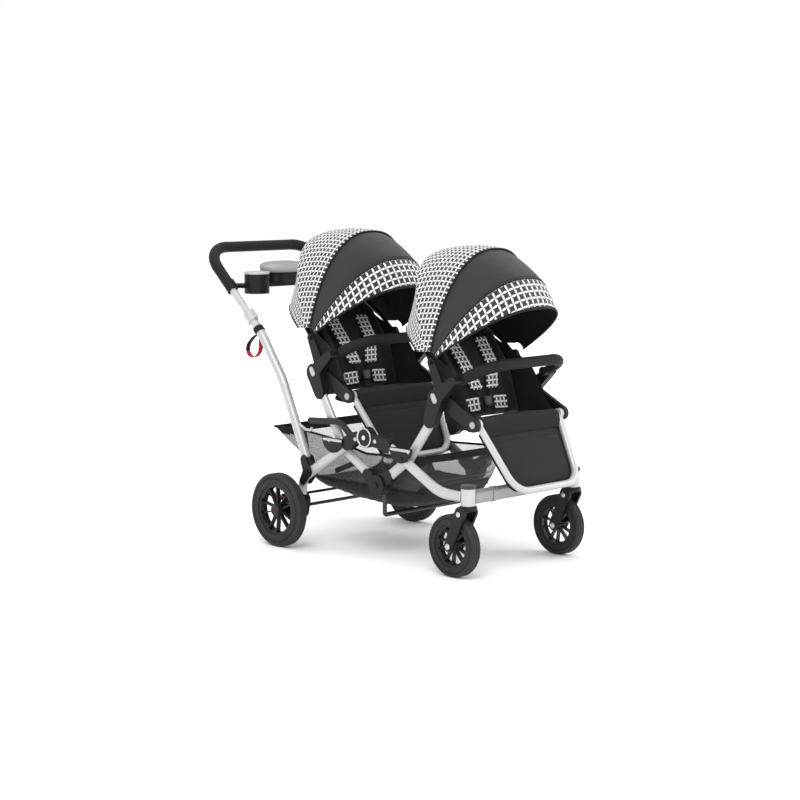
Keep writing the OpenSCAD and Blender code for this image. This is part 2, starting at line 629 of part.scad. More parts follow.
// The lower edge of the back panel, along the sides and across behind the seat back
function foot_edge(inset) = [for (i = [0:arch_steps]) let (
    t = arch_from + (180 - 2 * arch_from) * i / arch_steps,
    s = min(1, pow(sin(t), 0.55) * 1.25),
    side = (canopy_w - inset) * (1 - s) + (canopy_w - 24 - inset) * s,
    x = side * sign(cos(t)) * pow(abs(cos(t)), 0.62))
    [x, canopy_pivot[0] + 24 + s * (canopy_foot[0] - canopy_pivot[0] - 24 - inset),
        canopy_pivot[1] + 6 + s * (canopy_foot[1] - canopy_pivot[1] - 6 + 0.6 * inset)]];
function blend_rows(a, b, k) = [for (i = [0:len(a) - 1]) a[i] * (1 - k) + b[i] * k];
// Closed shell between two stacks of rows
module shell(outer, inner) {
    rows = len(outer);
    n = len(outer[0]);
    points = concat([for (r = outer) each r], [for (r = inner) each r]);
    function at(layer, i, j) = layer * rows * n + i * n + j;
    quads = concat(
        [for (i = [0:rows - 2]) for (j = [0:n - 2]) [at(0, i, j), at(0, i, j + 1), at(0, i + 1, j + 1), at(0, i + 1, j)]],
        [for (i = [0:rows - 2]) for (j = [0:n - 2]) [at(1, i + 1, j), at(1, i + 1, j + 1), at(1, i, j + 1), at(1, i, j)]],
        [for (j = [0:n - 2]) [at(1, 0, j), at(1, 0, j + 1), at(0, 0, j + 1), at(0, 0, j)]],
        [for (j = [0:n - 2]) [at(0, rows - 1, j), at(0, rows - 1, j + 1), at(1, rows - 1, j + 1), at(1, rows - 1, j)]],
        [for (i = [0:rows - 2]) [at(0, i, 0), at(0, i + 1, 0), at(1, i + 1, 0), at(1, i, 0)]],
        [for (i = [0:rows - 2]) [at(1, i, n - 1), at(1, i + 1, n - 1), at(0, i + 1, n - 1), at(0, i, n - 1)]]);
    polyhedron(points, [for (q = quads) each [[q[0], q[1], q[2]], [q[0], q[2], q[3]]]]);
}
module canopy_tab(x, a, reach) difference() {
    both_sides() plate(x - 2.5, x) link2d(canopy_pivot, canopy_pivot + reach * [-sin(a), cos(a)], 14, 9);
    cross_pin(canopy_pivot, canopy_pin + run_gap, -400, 400);
}
module canopy_back() color("#e6e6e6") {
    angles = [bow_mid, 5, -4, -13, bow_back];
    foot = foot_edge(0);
    foot_in = foot_edge(cloth);
    shell(concat([for (a = angles) arch(a, 0)], [for (k = [0.33, 0.66, 1]) blend_rows(arch(bow_back, 0), foot, k)]),
        concat([for (a = angles) arch(a, cloth)],
            [for (k = [0.33, 0.66, 1]) blend_rows(arch(bow_back, cloth), foot_in, k)]));
    canopy_tab(canopy_w - cloth + 0.5, -4, 52);
}
module canopy_hood() color(charcoal) {
    angles = [for (i = [0:6]) bow_mid + 1.5 + (bow_front - bow_mid - 1.5) * i / 6];
    shell([for (a = angles) arch(a, hood_drop + cloth)], [for (a = angles) arch(a, hood_drop)]);
    canopy_tab(canopy_w - hood_drop - cloth + 0.5, 36, 52);
}
// Leg rest: a tube hung on the knee pins, and the fabric panel behind it
leg_x0 = 195;
leg_x1 = 150;
leg_drop = [-127, -207];
module leg_frame() color(silver) {
    swept([yz(-leg_x0, knee), yz(-leg_x1, knee + leg_drop), yz(leg_x1, knee + leg_drop), yz(leg_x0, knee)], 70)
        rotate(35) circle(leg_tube_r);
    both_sides() {
        plate(leg_x0 - 5, knee_in - 0.5) translate(knee) circle(17);
        color("#9a9b9e") cross_pin(knee, knee_bore - run_gap, knee_in - 1, inner_in + 2);
        color("#9a9b9e") cross_pin(knee, 11, inner_in + seat_gap, inner_in + 3);
    }
}
module leg_panel() color(charcoal) {
    down = unit(leg_drop);
    place([0, knee[0], knee[1]], [1, 0, 0], [0, down[0], down[1]], [0, -down[1], down[0]])
        translate([0, 0, leg_tube_r + seat_gap]) linear_extrude(12)
        polygon([[-186, 30], [186, 30], [150, 218], [120, 233], [-120, 233], [-150, 218]]);
}
// Bumper bar: a foam-covered hoop across the seat, turning on the bumper pins
bumper_x = 200;
bumper_tip = [-106, 52];
bumper_tube_r = 10;
function bumper_path(from) = let (d = unit(bumper_tip)) [yz(-bumper_x, bumper_pivot + from * d),
    yz(-bumper_x, bumper_pivot + bumper_tip), yz(bumper_x, bumper_pivot + bumper_tip),
    yz(bumper_x, bumper_pivot + from * d)];
module bumper_bar() {
    color("#2c2c2f") difference() {
        swept(bumper_path(26), 90) circle(bumper_r);
        swept(bumper_path(10), 90) circle(bumper_tube_r + 0.1);
    }
    color(black) difference() {
        union() {
            swept(bumper_path(10), 90) circle(bumper_tube_r);
            both_sides() plate(bumper_x - 10, inner_in - seat_gap) translate(bumper_pivot) circle(15);
        }
        cross_pin(bumper_pivot, bumper_pin + run_gap, -400, 400);
    }
}

// The rear seat unit
module rear_seat_frame() at_rear_seat() seat_frame(rear_post_top, rear_cross - rear_hub);
module rear_left_button() at_rear_seat() seat_button(1);
module rear_right_button() at_rear_seat() seat_button(-1);
module rear_seat_pad() at_rear_seat() seat_pad();
module rear_back_frame() at_rear_seat() back_frame();
module rear_back_pad() at_rear_seat() back_pad();
module rear_canopy_back() at_rear_seat() canopy_back();
module rear_canopy_hood() at_rear_seat() canopy_hood();
module rear_leg_frame() at_rear_seat() leg_frame();
module rear_leg_panel() at_rear_seat() leg_panel();
module rear_bumper_bar() at_rear_seat() bumper_bar();
module rear_harness() at_rear_seat() harness();
// The front seat unit
module front_seat_frame() at_front_seat() seat_frame(front_post_top, front_cross - front_hub);
module front_left_button() at_front_seat() seat_button(1);
module front_right_button() at_front_seat() seat_button(-1);
module front_seat_pad() at_front_seat() seat_pad();
module front_back_frame() at_front_seat() back_frame();
module front_back_pad() at_front_seat() back_pad();
module front_canopy_back() at_front_seat() canopy_back();
module front_canopy_hood() at_front_seat() canopy_hood();
module front_leg_frame() at_front_seat() leg_frame();
module front_leg_panel() at_front_seat() leg_panel();
module front_bumper_bar() at_front_seat() bumper_bar();
module front_harness() at_front_seat() harness();

rear_legs();
axle_brackets();
rear_axle();
top_hub_rear();
frame_pins();
rear_cross_brackets();
latch_rails();
basket();
basket_hoop();
brake_pedal();
front_legs();
top_hub_front();
front_cross_brackets();
front_crossbar();
caster_stems();
left_fork();
right_fork();
left_front_tyre();
right_front_tyre();
left_front_rim();
right_front_rim();
left_rear_tyre();
right_rear_tyre();
left_rear_rim();
right_rear_rim();
rear_seat_posts();
lower_hub_rear();
strut_links();
front_seat_posts();
lower_hub_front();
handle_pivots();
handle_arms();
handle_bar();
handle_grip();
tray();
tray_lid();
rear_seat_frame();
rear_left_button();
rear_right_button();
rear_seat_pad();
rear_back_frame();
rear_back_pad();
rear_canopy_back();
rear_canopy_hood();
rear_leg_frame();
rear_leg_panel();
rear_bumper_bar();
rear_harness();
front_seat_frame();
front_left_button();
front_right_button();
front_seat_pad();
front_back_frame();
front_back_pad();
front_canopy_back();
front_canopy_hood();
front_leg_frame();
front_leg_panel();
front_bumper_bar();
front_harness();
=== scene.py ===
"""The looks of a tandem double stroller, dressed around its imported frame.

Lengths are metres. Z is up, the stroller travels towards -Y, and each piece of the
stroller has its own section below, in the order in which it would be put together.
"""
import math
import bmesh
import bpy
import numpy as np
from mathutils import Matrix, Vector


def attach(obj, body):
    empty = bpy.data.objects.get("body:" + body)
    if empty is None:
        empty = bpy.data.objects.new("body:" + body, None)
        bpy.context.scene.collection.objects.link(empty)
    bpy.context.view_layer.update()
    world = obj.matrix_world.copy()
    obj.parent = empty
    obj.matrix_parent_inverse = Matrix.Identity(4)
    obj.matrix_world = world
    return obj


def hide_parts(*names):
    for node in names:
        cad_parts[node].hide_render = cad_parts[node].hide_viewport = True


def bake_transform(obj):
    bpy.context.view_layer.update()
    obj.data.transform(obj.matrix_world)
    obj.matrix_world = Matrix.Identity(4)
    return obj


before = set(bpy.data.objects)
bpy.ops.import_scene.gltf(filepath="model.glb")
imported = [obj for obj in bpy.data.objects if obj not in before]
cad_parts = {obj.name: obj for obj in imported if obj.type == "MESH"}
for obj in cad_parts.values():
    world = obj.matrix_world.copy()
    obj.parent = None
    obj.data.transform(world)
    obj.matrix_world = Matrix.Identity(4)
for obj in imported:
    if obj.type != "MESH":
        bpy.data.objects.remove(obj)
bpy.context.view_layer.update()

# The studio: a white floor under a white sky, three soft lamps and a long lens
# at the height of a standing child, turned towards the stroller's front corner.
CAMERA_AT = Vector((-4.5272, -4.5936, 1.3030))
CAMERA_TO = Vector((0.0, -0.0348, 0.5010))
camera = bpy.data.objects.new("camera", bpy.data.cameras.new("camera"))
camera.data.lens = 84.74
camera.data.sensor_width = 36.0
camera.location = CAMERA_AT
camera.rotation_euler = (CAMERA_TO - CAMERA_AT).to_track_quat("-Z", "Y").to_euler()
bpy.context.scene.collection.objects.link(camera)
bpy.context.scene.camera = camera
bpy.context.scene.view_settings.view_transform = "Standard"

world = bpy.data.worlds.new("studio")
world.use_nodes = True
world.node_tree.nodes["Background"].inputs["Color"].default_value = (1.0, 1.0, 1.0, 1.0)
world.node_tree.nodes["Background"].inputs["Strength"].default_value = 0.86
sky = world.node_tree
seen = sky.nodes.new("ShaderNodeLightPath")
white = sky.nodes.new("ShaderNodeBackground")
white.inputs["Strength"].default_value = 1.0
white.inputs["Color"].default_value = (1.0, 1.0, 1.0, 1.0)
choice = sky.nodes.new("ShaderNodeMixShader")
sky.links.new(seen.outputs["Is Camera Ray"], choice.inputs[0])
sky.links.new(sky.nodes["Background"].outputs[0], choice.inputs[1])
sky.links.new(white.outputs[0], choice.inputs[2])
sky.links.new(choice.outputs[0], sky.nodes["World Output"].inputs["Surface"])
bpy.context.scene.world = world


def lamp(name, place, size, power):
    """A square soft lamp aimed at the middle of the stroller."""
    lit = bpy.data.objects.new(name, bpy.data.lights.new(name, "AREA"))
    lit.data.size = size
    lit.data.energy = power
    lit.location = place
    lit.rotation_euler = (Vector((0, 0, 0.5)) - Vector(place)).to_track_quat("-Z", "Y").to_euler()
    bpy.context.scene.collection.objects.link(lit)


lamp("key_lamp", (-3.2, -2.6, 4.2), 3.0, 150)
lamp("fill_lamp", (3.4, -3.2, 2.6), 3.0, 70)
lamp("top_lamp", (0.4, 1.6, 4.6), 3.5, 90)


class Amount:
    """A number that varies over a surface; arithmetic on it becomes Math nodes."""

    def __init__(self, finish, socket):
        self.finish, self.socket = finish, socket

    def math(self, operation, *others, first=None):
        terms = (self, *others) if first is None else (first, self)
        return self.finish.node("Math", {"operation": operation}, dict(enumerate(terms)))

    def __add__(self, other):
        return self.math("ADD", other)

    def __sub__(self, other):
        return self.math("SUBTRACT", other)

    def __mul__(self, other):
        return self.math("MULTIPLY", other)

    def __rsub__(self, other):
        return self.math("SUBTRACT", first=other)

    __radd__ = __add__
    __rmul__ = __mul__

    def step(self, low, high):
        """0 below low and 1 above high, and smooth between them."""
        sockets = {"Value": self, "From Min": low, "From Max": high}
        return self.finish.node("MapRange", {"interpolation_type": "SMOOTHSTEP"}, sockets)


class Finish:
    """One material: nodes are added one by one around its principled shader."""

    def __init__(self, name, colour, roughness, **sockets):
        self.material = bpy.data.materials.new(name)
        self.material.use_nodes = True
        self.tree = self.material.node_tree
        self.shader = self.tree.nodes["Principled BSDF"]
        self.colour, self.roughness = colour, roughness
        named = {key.replace("_", " "): value for key, value in sockets.items()}
        self.set(self.shader, {"Base Color": colour, "Roughness": roughness, **named})

    def set(self, node, values):
        """Sets or links the named sockets of a node."""
        for key, value in values.items():
            socket = node.inputs[key]
            if isinstance(value, Amount):
                self.tree.links.new(value.socket, socket)
            elif socket.type == "RGBA":
                socket.default_value = (*value, 1.0)
            else:
                socket.default_value = value

    def node(self, kind, settings=None, values=None, output=0):
        """A new node of a kind, with its settings and socket values, as one Amount."""
        made = self.tree.nodes.new("ShaderNode" + kind)
        for key, value in (settings or {}).items():
            setattr(made, key, value)
        self.set(made, values or {})
        return Amount(self, made.outputs[output])

    def place(self):
        """The point on the surface in metres, as Object coordinates."""
        return self.node("TexCoord", output=3)

    def axes(self, point=None):
        """The x, y and z of a point as three Amounts."""
        parts = self.node("SeparateXYZ", None, {0: point or self.place()})
        node = parts.socket.node
        return [Amount(self, node.outputs[i]) for i in range(3)]

    def noise(self, scale, detail=2.0, point=None):
        """Cloudy 0 to 1 variation, with this many clouds to a metre."""
        values = {"Vector": point or self.place(), "Scale": scale, "Detail": detail}
        return self.node("TexNoise", None, values)

    def mix(self, share, low, high):
        """A colour between two colours."""
        made = self.tree.nodes.new("ShaderNodeMix")
        made.data_type = "RGBA"
        colours = {0: share, 6: low, 7: high}
        self.set(made, colours)
        return Amount(self, made.outputs[2])

    def paint(self, colour):
        self.set(self.shader, {"Base Color": colour})

    def rough(self, amount):
        self.set(self.shader, {"Roughness": amount})

    def bump(self, height, depth, strength=1.0):
        """Relief of this depth in metres from a 0 to 1 height."""
        values = {"Height": height, "Distance": depth, "Strength": strength}
        self.set(self.shader, {"Normal": self.node("Bump", None, values)})


def tint(colour, factor):
    """The same colour, lighter or darker."""
    return tuple(min(1.0, c * factor) for c in colour)


floor_finish = Finish("floor_paper", (0.93, 0.93, 0.935), 0.9)
floor_finish.paint(floor_finish.mix(floor_finish.noise(1.5), (0.955, 0.955, 0.955), (0.97, 0.97, 0.97)))
# Painted light: the floor glows, faintly under the stroller and brighter further out, so it reads white where the
# lamps fall off.
floor_x, floor_y, _ = floor_finish.axes()
painted_glow_afar = (floor_x * floor_x + floor_y * floor_y).math("SQRT").step(0.9, 2.4)
floor_finish.set(floor_finish.shader, {"Emission Strength": 1.0,
                 "Emission Color": floor_finish.mix(painted_glow_afar, (0.03, 0.03, 0.03), (0.6, 0.6, 0.6))})
FLOOR_HALF = 9.0
floor_mesh = bpy.data.meshes.new("floor")
floor_points = [(x, y, -0.0002) for x, y in ((-1, -1), (1, -1), (1, 1), (-1, 1))]
floor_mesh.from_pydata([(x * FLOOR_HALF, y * FLOOR_HALF, z) for x, y, z in floor_points], [], [(0, 1, 2, 3)])
floor_mesh.materials.append(floor_finish.material)
floor = bpy.data.objects.new("floor", floor_mesh)
bpy.context.scene.collection.objects.link(floor)


# The tubes are aluminium with a fine silver-white powder coat: flat-oval legs and
# posts, round handle arms and leg rest hoops. They are bent, drilled and riveted.
def moulded(name, colour, roughness, grain=0.00012, **sockets):
    """A moulded plastic: fine grain, and a slightly uneven sheen."""
    made = Finish(name, colour, roughness, Specular_IOR_Level=0.22, **sockets)
    cloud = made.noise(9.0, 3.0)
    made.paint(made.mix(cloud, tint(colour, 0.8), tint(colour, 1.25)))
    made.rough(cloud * 0.16 + (roughness - 0.08))
    made.bump(made.noise(900.0, 2.0), grain, 0.5)
    return made


def coated(name, colour):
    """Powder coat: a faint orange-peel skin over metal, duller where it was handled."""
    made = Finish(name, colour, 0.36, Metallic=0.25, Coat_Weight=0.25, Coat_Roughness=0.25)
    cloud = made.noise(6.0, 4.0)
    made.paint(made.mix(cloud, tint(colour, 0.93), tint(colour, 1.04)))
    made.rough(cloud * 0.14 + 0.3)
    made.bump(made.noise(650.0, 2.0), 0.00006, 0.45)
    return made


def dress(finish, *nodes):
    """Gives CAD nodes their finish."""
    for name in nodes:
        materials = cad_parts[name].data.materials
        if len(materials) == 0:
            materials.append(finish.material)
        for index in range(len(materials)):
            materials[index] = finish.material


SILVER = (0.47, 0.475, 0.48)
silver = coated("silver_coat", SILVER)
dress(silver, "rear_legs", "front_legs", "rear_seat_posts", "front_seat_posts", "handle_arms", "handle_bar")
BLACK = (0.0085, 0.0085, 0.0095)
black = moulded("black_moulding", BLACK, 0.42)
dress(black, "axle_brackets", "top_hub_rear", "top_hub_front", "rear_cross_brackets")
dress(black, "front_cross_brackets", "lower_hub_rear", "lower_hub_front", "handle_pivots")
dress(black, "strut_links", "left_fork", "right_fork", "tray", "rear_seat_frame", "front_seat_frame")
dress(black, "rear_back_frame", "front_back_frame")
charcoal_plastic = moulded("charcoal_moulding", (0.022, 0.022, 0.024), 0.5)
dress(charcoal_plastic, "latch_rails")
crossbar_grey = coated("grey_coat", (0.30, 0.305, 0.31))
dress(crossbar_grey, "front_crossbar")
dark_steel = coated("dark_coat", (0.02, 0.02, 0.022))
dress(dark_steel, "rear_axle", "basket_hoop")
steel = Finish("brushed_steel", (0.58, 0.58, 0.59), 0.3, Metallic=0.9)
brushing = steel.noise(420.0, 3.0)
steel.rough(brushing * 0.2 + 0.2)
steel.paint(steel.mix(brushing, (0.5, 0.5, 0.51), (0.66, 0.66, 0.67)))
dress(steel, "frame_pins")

# The tyres are solid foamed rubber with a fine chevron tread and two sidewall grooves.
REAR_HUBS = {"left": (0.326, 0.2275, 0.127), "right": (-0.326, 0.2275, 0.127)}
FRONT_HUBS = {"left": (0.255, -0.537, 0.1015), "right": (-0.255, -0.537, 0.1015)}


def tyre_rubber(name, hub, radius, half_width):
    """Rubber whose tread follows the angle round the axle and the distance across the tyre."""
    made = Finish(name, (0.035, 0.035, 0.037), 0.62, Specular_IOR_Level=0.3)
    x, y, z = made.axes()
    x, y, z = x - hub[0], y - hub[1], z - hub[2]
    around = y.math("ARCTAN2", z) * radius
    out = (y * y + z * z).math("SQRT")
    across_tyre = x.math("ABSOLUTE")
    slanted = (around + across_tyre * 0.9) * (2 * math.pi / 0.0105)
    blocks = slanted.math("SINE").step(-0.25, 0.15)
    on_tread = out.step(radius - 0.012, radius - 0.006)
    centre_line = across_tyre.step(0.0015, 0.003)
    side_rings = (out * (2 * math.pi / 0.0065)).math("SINE").step(-0.9, -0.4)
    relief = on_tread * blocks * centre_line + (1 - on_tread) * side_rings
    dust = made.noise(14.0, 4.0) * 0.5 + on_tread * 0.3
    made.paint(made.mix(dust, (0.012, 0.012, 0.013), (0.032, 0.032, 0.033)))
    made.rough(made.noise(40.0) * 0.2 + 0.5)
    made.bump(relief, 0.0022, 1.0)
    return made


for side, hub in REAR_HUBS.items():
    dress(tyre_rubber(side + "_rear_rubber", hub, 0.127, 0.02), side + "_rear_tyre")
for side, hub in FRONT_HUBS.items():
    dress(tyre_rubber(side + "_front_rubber", hub, 0.1015, 0.019), side + "_front_tyre")

# The rims are black nylon with five twin spokes, a lip and a round cap over the axle.
rim_nylon = moulded("rim_nylon", (0.014, 0.014, 0.015), 0.3)
dress(rim_nylon, "left_rear_rim", "right_rear_rim", "left_front_rim", "right_front_rim")
RED = (0.42, 0.012, 0.018)
red_plastic = moulded("brake_red", RED, 0.34)
brake_x, _, _ = red_plastic.axes()
on_shoe = brake_x.math("ABSOLUTE").step(0.268, 0.272)
red_plastic.paint(red_plastic.mix(on_shoe, BLACK, RED))
dress(red_plastic, "brake_pedal")


def surface(name, points, finish, body, ring=False, uv=None, smooth=True):
    """A grid of points, rows by columns, as a mesh of quads. A ring also joins the last
    column to the first. Points that meet are merged, and a closed form faces outwards."""
    rows, columns = points.shape[:2]
    index = np.arange(rows * columns).reshape(rows, columns)
    if ring:
        index = np.hstack([index, index[:, :1]])
    quads = np.stack([index[:-1, :-1], index[:-1, 1:], index[1:, 1:], index[1:, :-1]], -1).reshape(-1, 4)
    mesh = bpy.data.meshes.new(name)
    mesh.from_pydata(points.reshape(-1, 3).tolist(), [], quads.tolist())
    if uv is not None:
        corner = np.zeros(len(mesh.loops), np.int32)
        mesh.loops.foreach_get("vertex_index", corner)
        layer = mesh.uv_layers.new(name="cloth")
        layer.data.foreach_set("uv", uv.reshape(-1, 2)[corner].astype(np.float32).ravel())
    work = bmesh.new()
    work.from_mesh(mesh)
    bmesh.ops.remove_doubles(work, verts=work.verts, dist=1e-6)
    if ring:
        bmesh.ops.recalc_face_normals(work, faces=work.faces)
    work.to_mesh(mesh)
    work.free()
    mesh.polygons.foreach_set("use_smooth", [smooth] * len(mesh.polygons))
    mesh.materials.append(finish.material)
    made = bpy.data.objects.new(name, mesh)
    bpy.context.scene.collection.objects.link(made)
    if body:
        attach(made, body)
    return made


def turned(name, centre, axis, profile, finish, body, segments=40):
    """A profile of (distance along the axis, radius) pairs turned round an axis at centre."""
    axis = np.array(axis, float)
    u = np.array([0.0, 1.0, 0.0]) if abs(axis[0]) > 0.5 else np.array([1.0, 0.0, 0.0])
    v = np.cross(axis, u)
    angle = np.linspace(0, 2 * math.pi, segments, endpoint=False)
    circle = np.cos(angle)[:, None] * u + np.sin(angle)[:, None] * v
    along, radius = np.array(profile, float).T
    points = np.array(centre) + along[:, None, None] * axis + radius[:, None, None] * circle
    return surface(name, points, finish, body, ring=True)


def joined(name, parts):
    """Several like pieces as one object; they keep the first one's body."""
    for chosen in bpy.context.selected_objects:
        chosen.select_set(False)
    for part in parts:
        part.select_set(True)
    bpy.context.view_layer.objects.active = parts[0]
    bpy.ops.object.join()
    parts[0].select_set(False)
    parts[0].name = name
    return parts[0]


def domed(height, radius):
    """The profile of a domed rivet head with a small flat washer under it."""
    return [(0, 0), (0, radius * 1.3), (height * 0.3, radius * 1.3), (height * 0.3, radius),
            (height * 0.7, radius * 0.88), (height * 0.95, radius * 0.5), (height, 0)]


# Rivets and rings: each hub is held by a steel rivet, the top hubs wear a silver ring,
# and smaller rivets pin the clamps, the half-moon brackets and the brace links.
SIDES = {"left": 1, "right": -1}


def both(name, body, finish, places, reach, height, radius):
    """The same rivet on both sides of the stroller at side view places (y, z)."""
    made = []
    for sign in SIDES.values():
        for y, z in places:
            made.append(turned(name, (sign * reach, y, z), (sign, 0, 0), domed(height, radius), finish,
                               body, 24))
    return joined(name, made)


TOP_HUB = (-0.1385, 0.408)
both("top_clamp_rivets", "rear_frame", steel, [(-0.095, 0.3985)], 0.2702, 0.0022, 0.0055)
both("front_clamp_rivets", "front_frame", steel, [(-0.188, 0.4005)], 0.2702, 0.0022, 0.0055)
both("half_moon_rivets_rear", "rear_frame", steel, [(0.0285, 0.3825)], 0.2742, 0.002, 0.0045)
both("half_moon_rivets_front", "front_frame", steel, [(-0.347, 0.3825)], 0.2742, 0.002, 0.0045)
rings = []
for sign in SIDES.values():
    ring_profile = [(0, 0.0335), (0.0016, 0.0335), (0.0022, 0.0315), (0.0016, 0.0295), (0.0006, 0.028),
                    (0, 0.028)]
    place = (sign * 0.2711, *TOP_HUB)
    rings.append(turned("hub_ring", place, (sign, 0, 0), ring_profile, steel, "front_frame"))
joined("top_hub_rings", rings)
strips = []
for body, top in (("rear_frame", (0.0125, 0.392)), ("front_frame", (-0.3105, 0.392))):
    pair = []
    for sign in SIDES.values():
        t = np.linspace(0, 2 * math.pi, 60, endpoint=False)
        outline = np.stack([np.cos(t) * 0.046, np.sin(t) * 0.0045], -1)
        squared = np.sign(outline) * np.abs(outline / (0.046, 0.0045)) ** 0.35 * (0.046, 0.0045)
        layers = []
        for out, scale in ((0, 0.0), (0, 1.0), (0.0012, 1.0), (0.0018, 0.94), (0.0018, 0.0)):
            row = np.empty((60, 3))
            row[:, 0] = sign * (0.2741 + out)
            row[:, 1:] = np.array(top) - (0, 0.0065) + squared * scale
            layers.append(row)
        pair.append(surface("bracket_strip", np.array(layers), silver, body, ring=True))
    strips.append(joined("bracket_strip_" + body, pair))

# The foam grip: a soft black skin over the handle bar, with a ring seam on each arm.
foam = moulded("grip_foam", (0.008, 0.008, 0.009), 0.72, grain=0.0004)
foam_pores = foam.noise(520.0, 3.0)
foam.bump(foam_pores, 0.0004, 0.7)
dress(foam, "handle_grip")
BAR_DIR = np.array([0.0, 0.72944, 0.68404])
ARM_END = np.array([0.0, 0.4595, 0.782])
seams = []
for sign in SIDES.values():
    for along, reach, thick in ((0.215, 0.0192, 0.0007), (0.119, 0.0196, 0.0016)):
        centre = ARM_END + BAR_DIR * along + (sign * 0.256, 0, 0)
        t = np.linspace(0, math.pi, 7)
        profile = [(-thick * 1.5 * math.cos(a), reach + thick * (math.sin(a) - 0.6)) for a in t]
        seams.append(turned("grip_seam", centre, BAR_DIR, profile, foam, "handle_top"))
joined("grip_seams", seams)


def tube(name, path, radius, finish, body, sides=14, closed=False):
    """A round bead of one radius carried along a path of points."""
    path = np.array(path, float)
    if closed:
        path = np.vstack([path, path[:1]])
    ahead = np.gradient(path, axis=0)
    ahead /= np.linalg.norm(ahead, axis=1)[:, None]
    if closed:
        ahead[0] = ahead[-1] = (ahead[0] + ahead[-1]) / np.linalg.norm(ahead[0] + ahead[-1])
    up = np.zeros_like(path)
    up[0] = np.cross(ahead[0], [1.0, 0.0, 0.0] if abs(ahead[0][0]) < 0.8 else [0.0, 0.0, 1.0])
    for i in range(len(path)):
        before = up[i - 1] if i else up[0]
        up[i] = before - ahead[i] * (before @ ahead[i])
        up[i] /= np.linalg.norm(up[i])
    side = np.cross(ahead, up)
    t = np.linspace(0, 2 * math.pi, sides, endpoint=False)
    ring = np.cos(t)[None, :, None] * up[:, None] + np.sin(t)[None, :, None] * side[:, None]
    radii = np.full(len(path), float(radius))
    points = path[:, None] + ring * radii[:, None, None]
    if not closed:
        points = np.concatenate([np.repeat(path[:1, None], sides, 1), points,
                                 np.repeat(path[-1:, None], sides, 1)])
    return surface(name, points, finish, body, ring=True)


# The wrist strap: a black band round the right-hand arm, with a loop of webbing that
# turns red at its lower end. It is cut from 20 mm webbing and sewn to itself.
def woven(name, colour, pitch=0.0011, roughness=0.85, sheen=0.25, light=1.3):
    """A woven cloth: crossed threads at this pitch, and soft patches of worn nap."""
    made = Finish(name, colour, roughness, Sheen_Weight=sheen, Sheen_Roughness=0.5, Specular_IOR_Level=0.2)
    x, y, z = made.axes()
    turn = 2 * math.pi / pitch
    threads = ((x + y * 0.35) * turn).math("SINE") * ((z - y * 0.8) * turn).math("SINE")
    made.paint(made.mix(made.noise(7.0, 4.0), tint(colour, 0.75), tint(colour, light)))
    made.rough(made.noise(30.0) * 0.12 + (roughness - 0.06))
    made.bump(threads * 0.5 + made.noise(160.0, 3.0), 0.00035, 0.7)
    return made


webbing = woven("black_webbing", (0.009, 0.009, 0.010), pitch=0.0016, sheen=0.08)
red_webbing = woven("red_webbing", (0.48, 0.016, 0.03), pitch=0.0016, sheen=0.1)


def sewn(name, line, half_width, half_depth, finish, body, side=(1, 0, 0), power=3.0,
         ring=36, round_off=0.012, relief=None, uv_scale=None):
    """A stuffed form along a line: each cross-section is a superellipse of that power,
    half_width across `side` and half_depth through, and both ends are rounded off.
    relief(u, v) lifts the front, u across from -1 to 1 and v along from 0 to 1."""
    line = np.array(line, float)
    half_width = np.broadcast_to(half_width, len(line)).astype(float)
    half_depth = np.broadcast_to(half_depth, len(line)).astype(float)
    ahead = np.gradient(line, axis=0)
    ahead /= np.linalg.norm(ahead, axis=1)[:, None]
    side = np.broadcast_to(np.array(side, float), line.shape)
    out = np.cross(ahead, side)
    out /= np.linalg.norm(out, axis=1)[:, None]
    length = np.concatenate([[0], np.cumsum(np.linalg.norm(np.diff(line, axis=0), axis=1))])
    near_end = np.minimum(length, length[-1] - length)
    share = np.clip(near_end / round_off, 0, 1)
    roll = np.sqrt(1 - (1 - share) ** 2)
    wide = half_width - (1 - roll) * np.minimum(round_off, half_width)
    deep = half_depth * np.maximum(roll, 0)
    wide[[0, -1]] = half_width[[0, -1]] - np.minimum(round_off, half_width[[0, -1]])
    deep[[0, -1]] = 0
    angle = np.linspace(0, 2 * math.pi, ring, endpoint=False)
    across = np.sign(np.cos(angle)) * np.abs(np.cos(angle)) ** (2 / power)
    through = np.sign(np.sin(angle)) * np.abs(np.sin(angle)) ** (2 / power)
    u = np.broadcast_to(across, (len(line), ring))
    v = np.broadcast_to((length / length[-1])[:, None], u.shape)
    depth = deep[:, None] * through
    if relief is not None:
        depth = depth + np.where(through > 0, relief(u, v), 0) * (deep / half_depth.max())[:, None]
    points = line[:, None] + side[:, None] * (wide[:, None] * across)[..., None] + out[:,
            None] * depth[..., None]
    uv = np.stack([u * half_width[:, None], v * length[-1]], -1)
    return surface(name, points, finish, body, ring=True, uv=uv)


def rows(points, count, smooth=2):
    """More points along a line through these, evenly spaced and with softened corners."""
    points = np.array(points, float)
    reach = np.concatenate([[0], np.cumsum(np.linalg.norm(np.diff(points, axis=0), axis=1))])
    even = np.linspace(0, reach[-1], count)
    line = np.stack([np.interp(even, reach, points[:, i]) for i in range(3)], -1)
    for _ in range(smooth):
        line[1:-1] = (line[:-2] + 2 * line[1:-1] + line[2:]) / 4
    return line


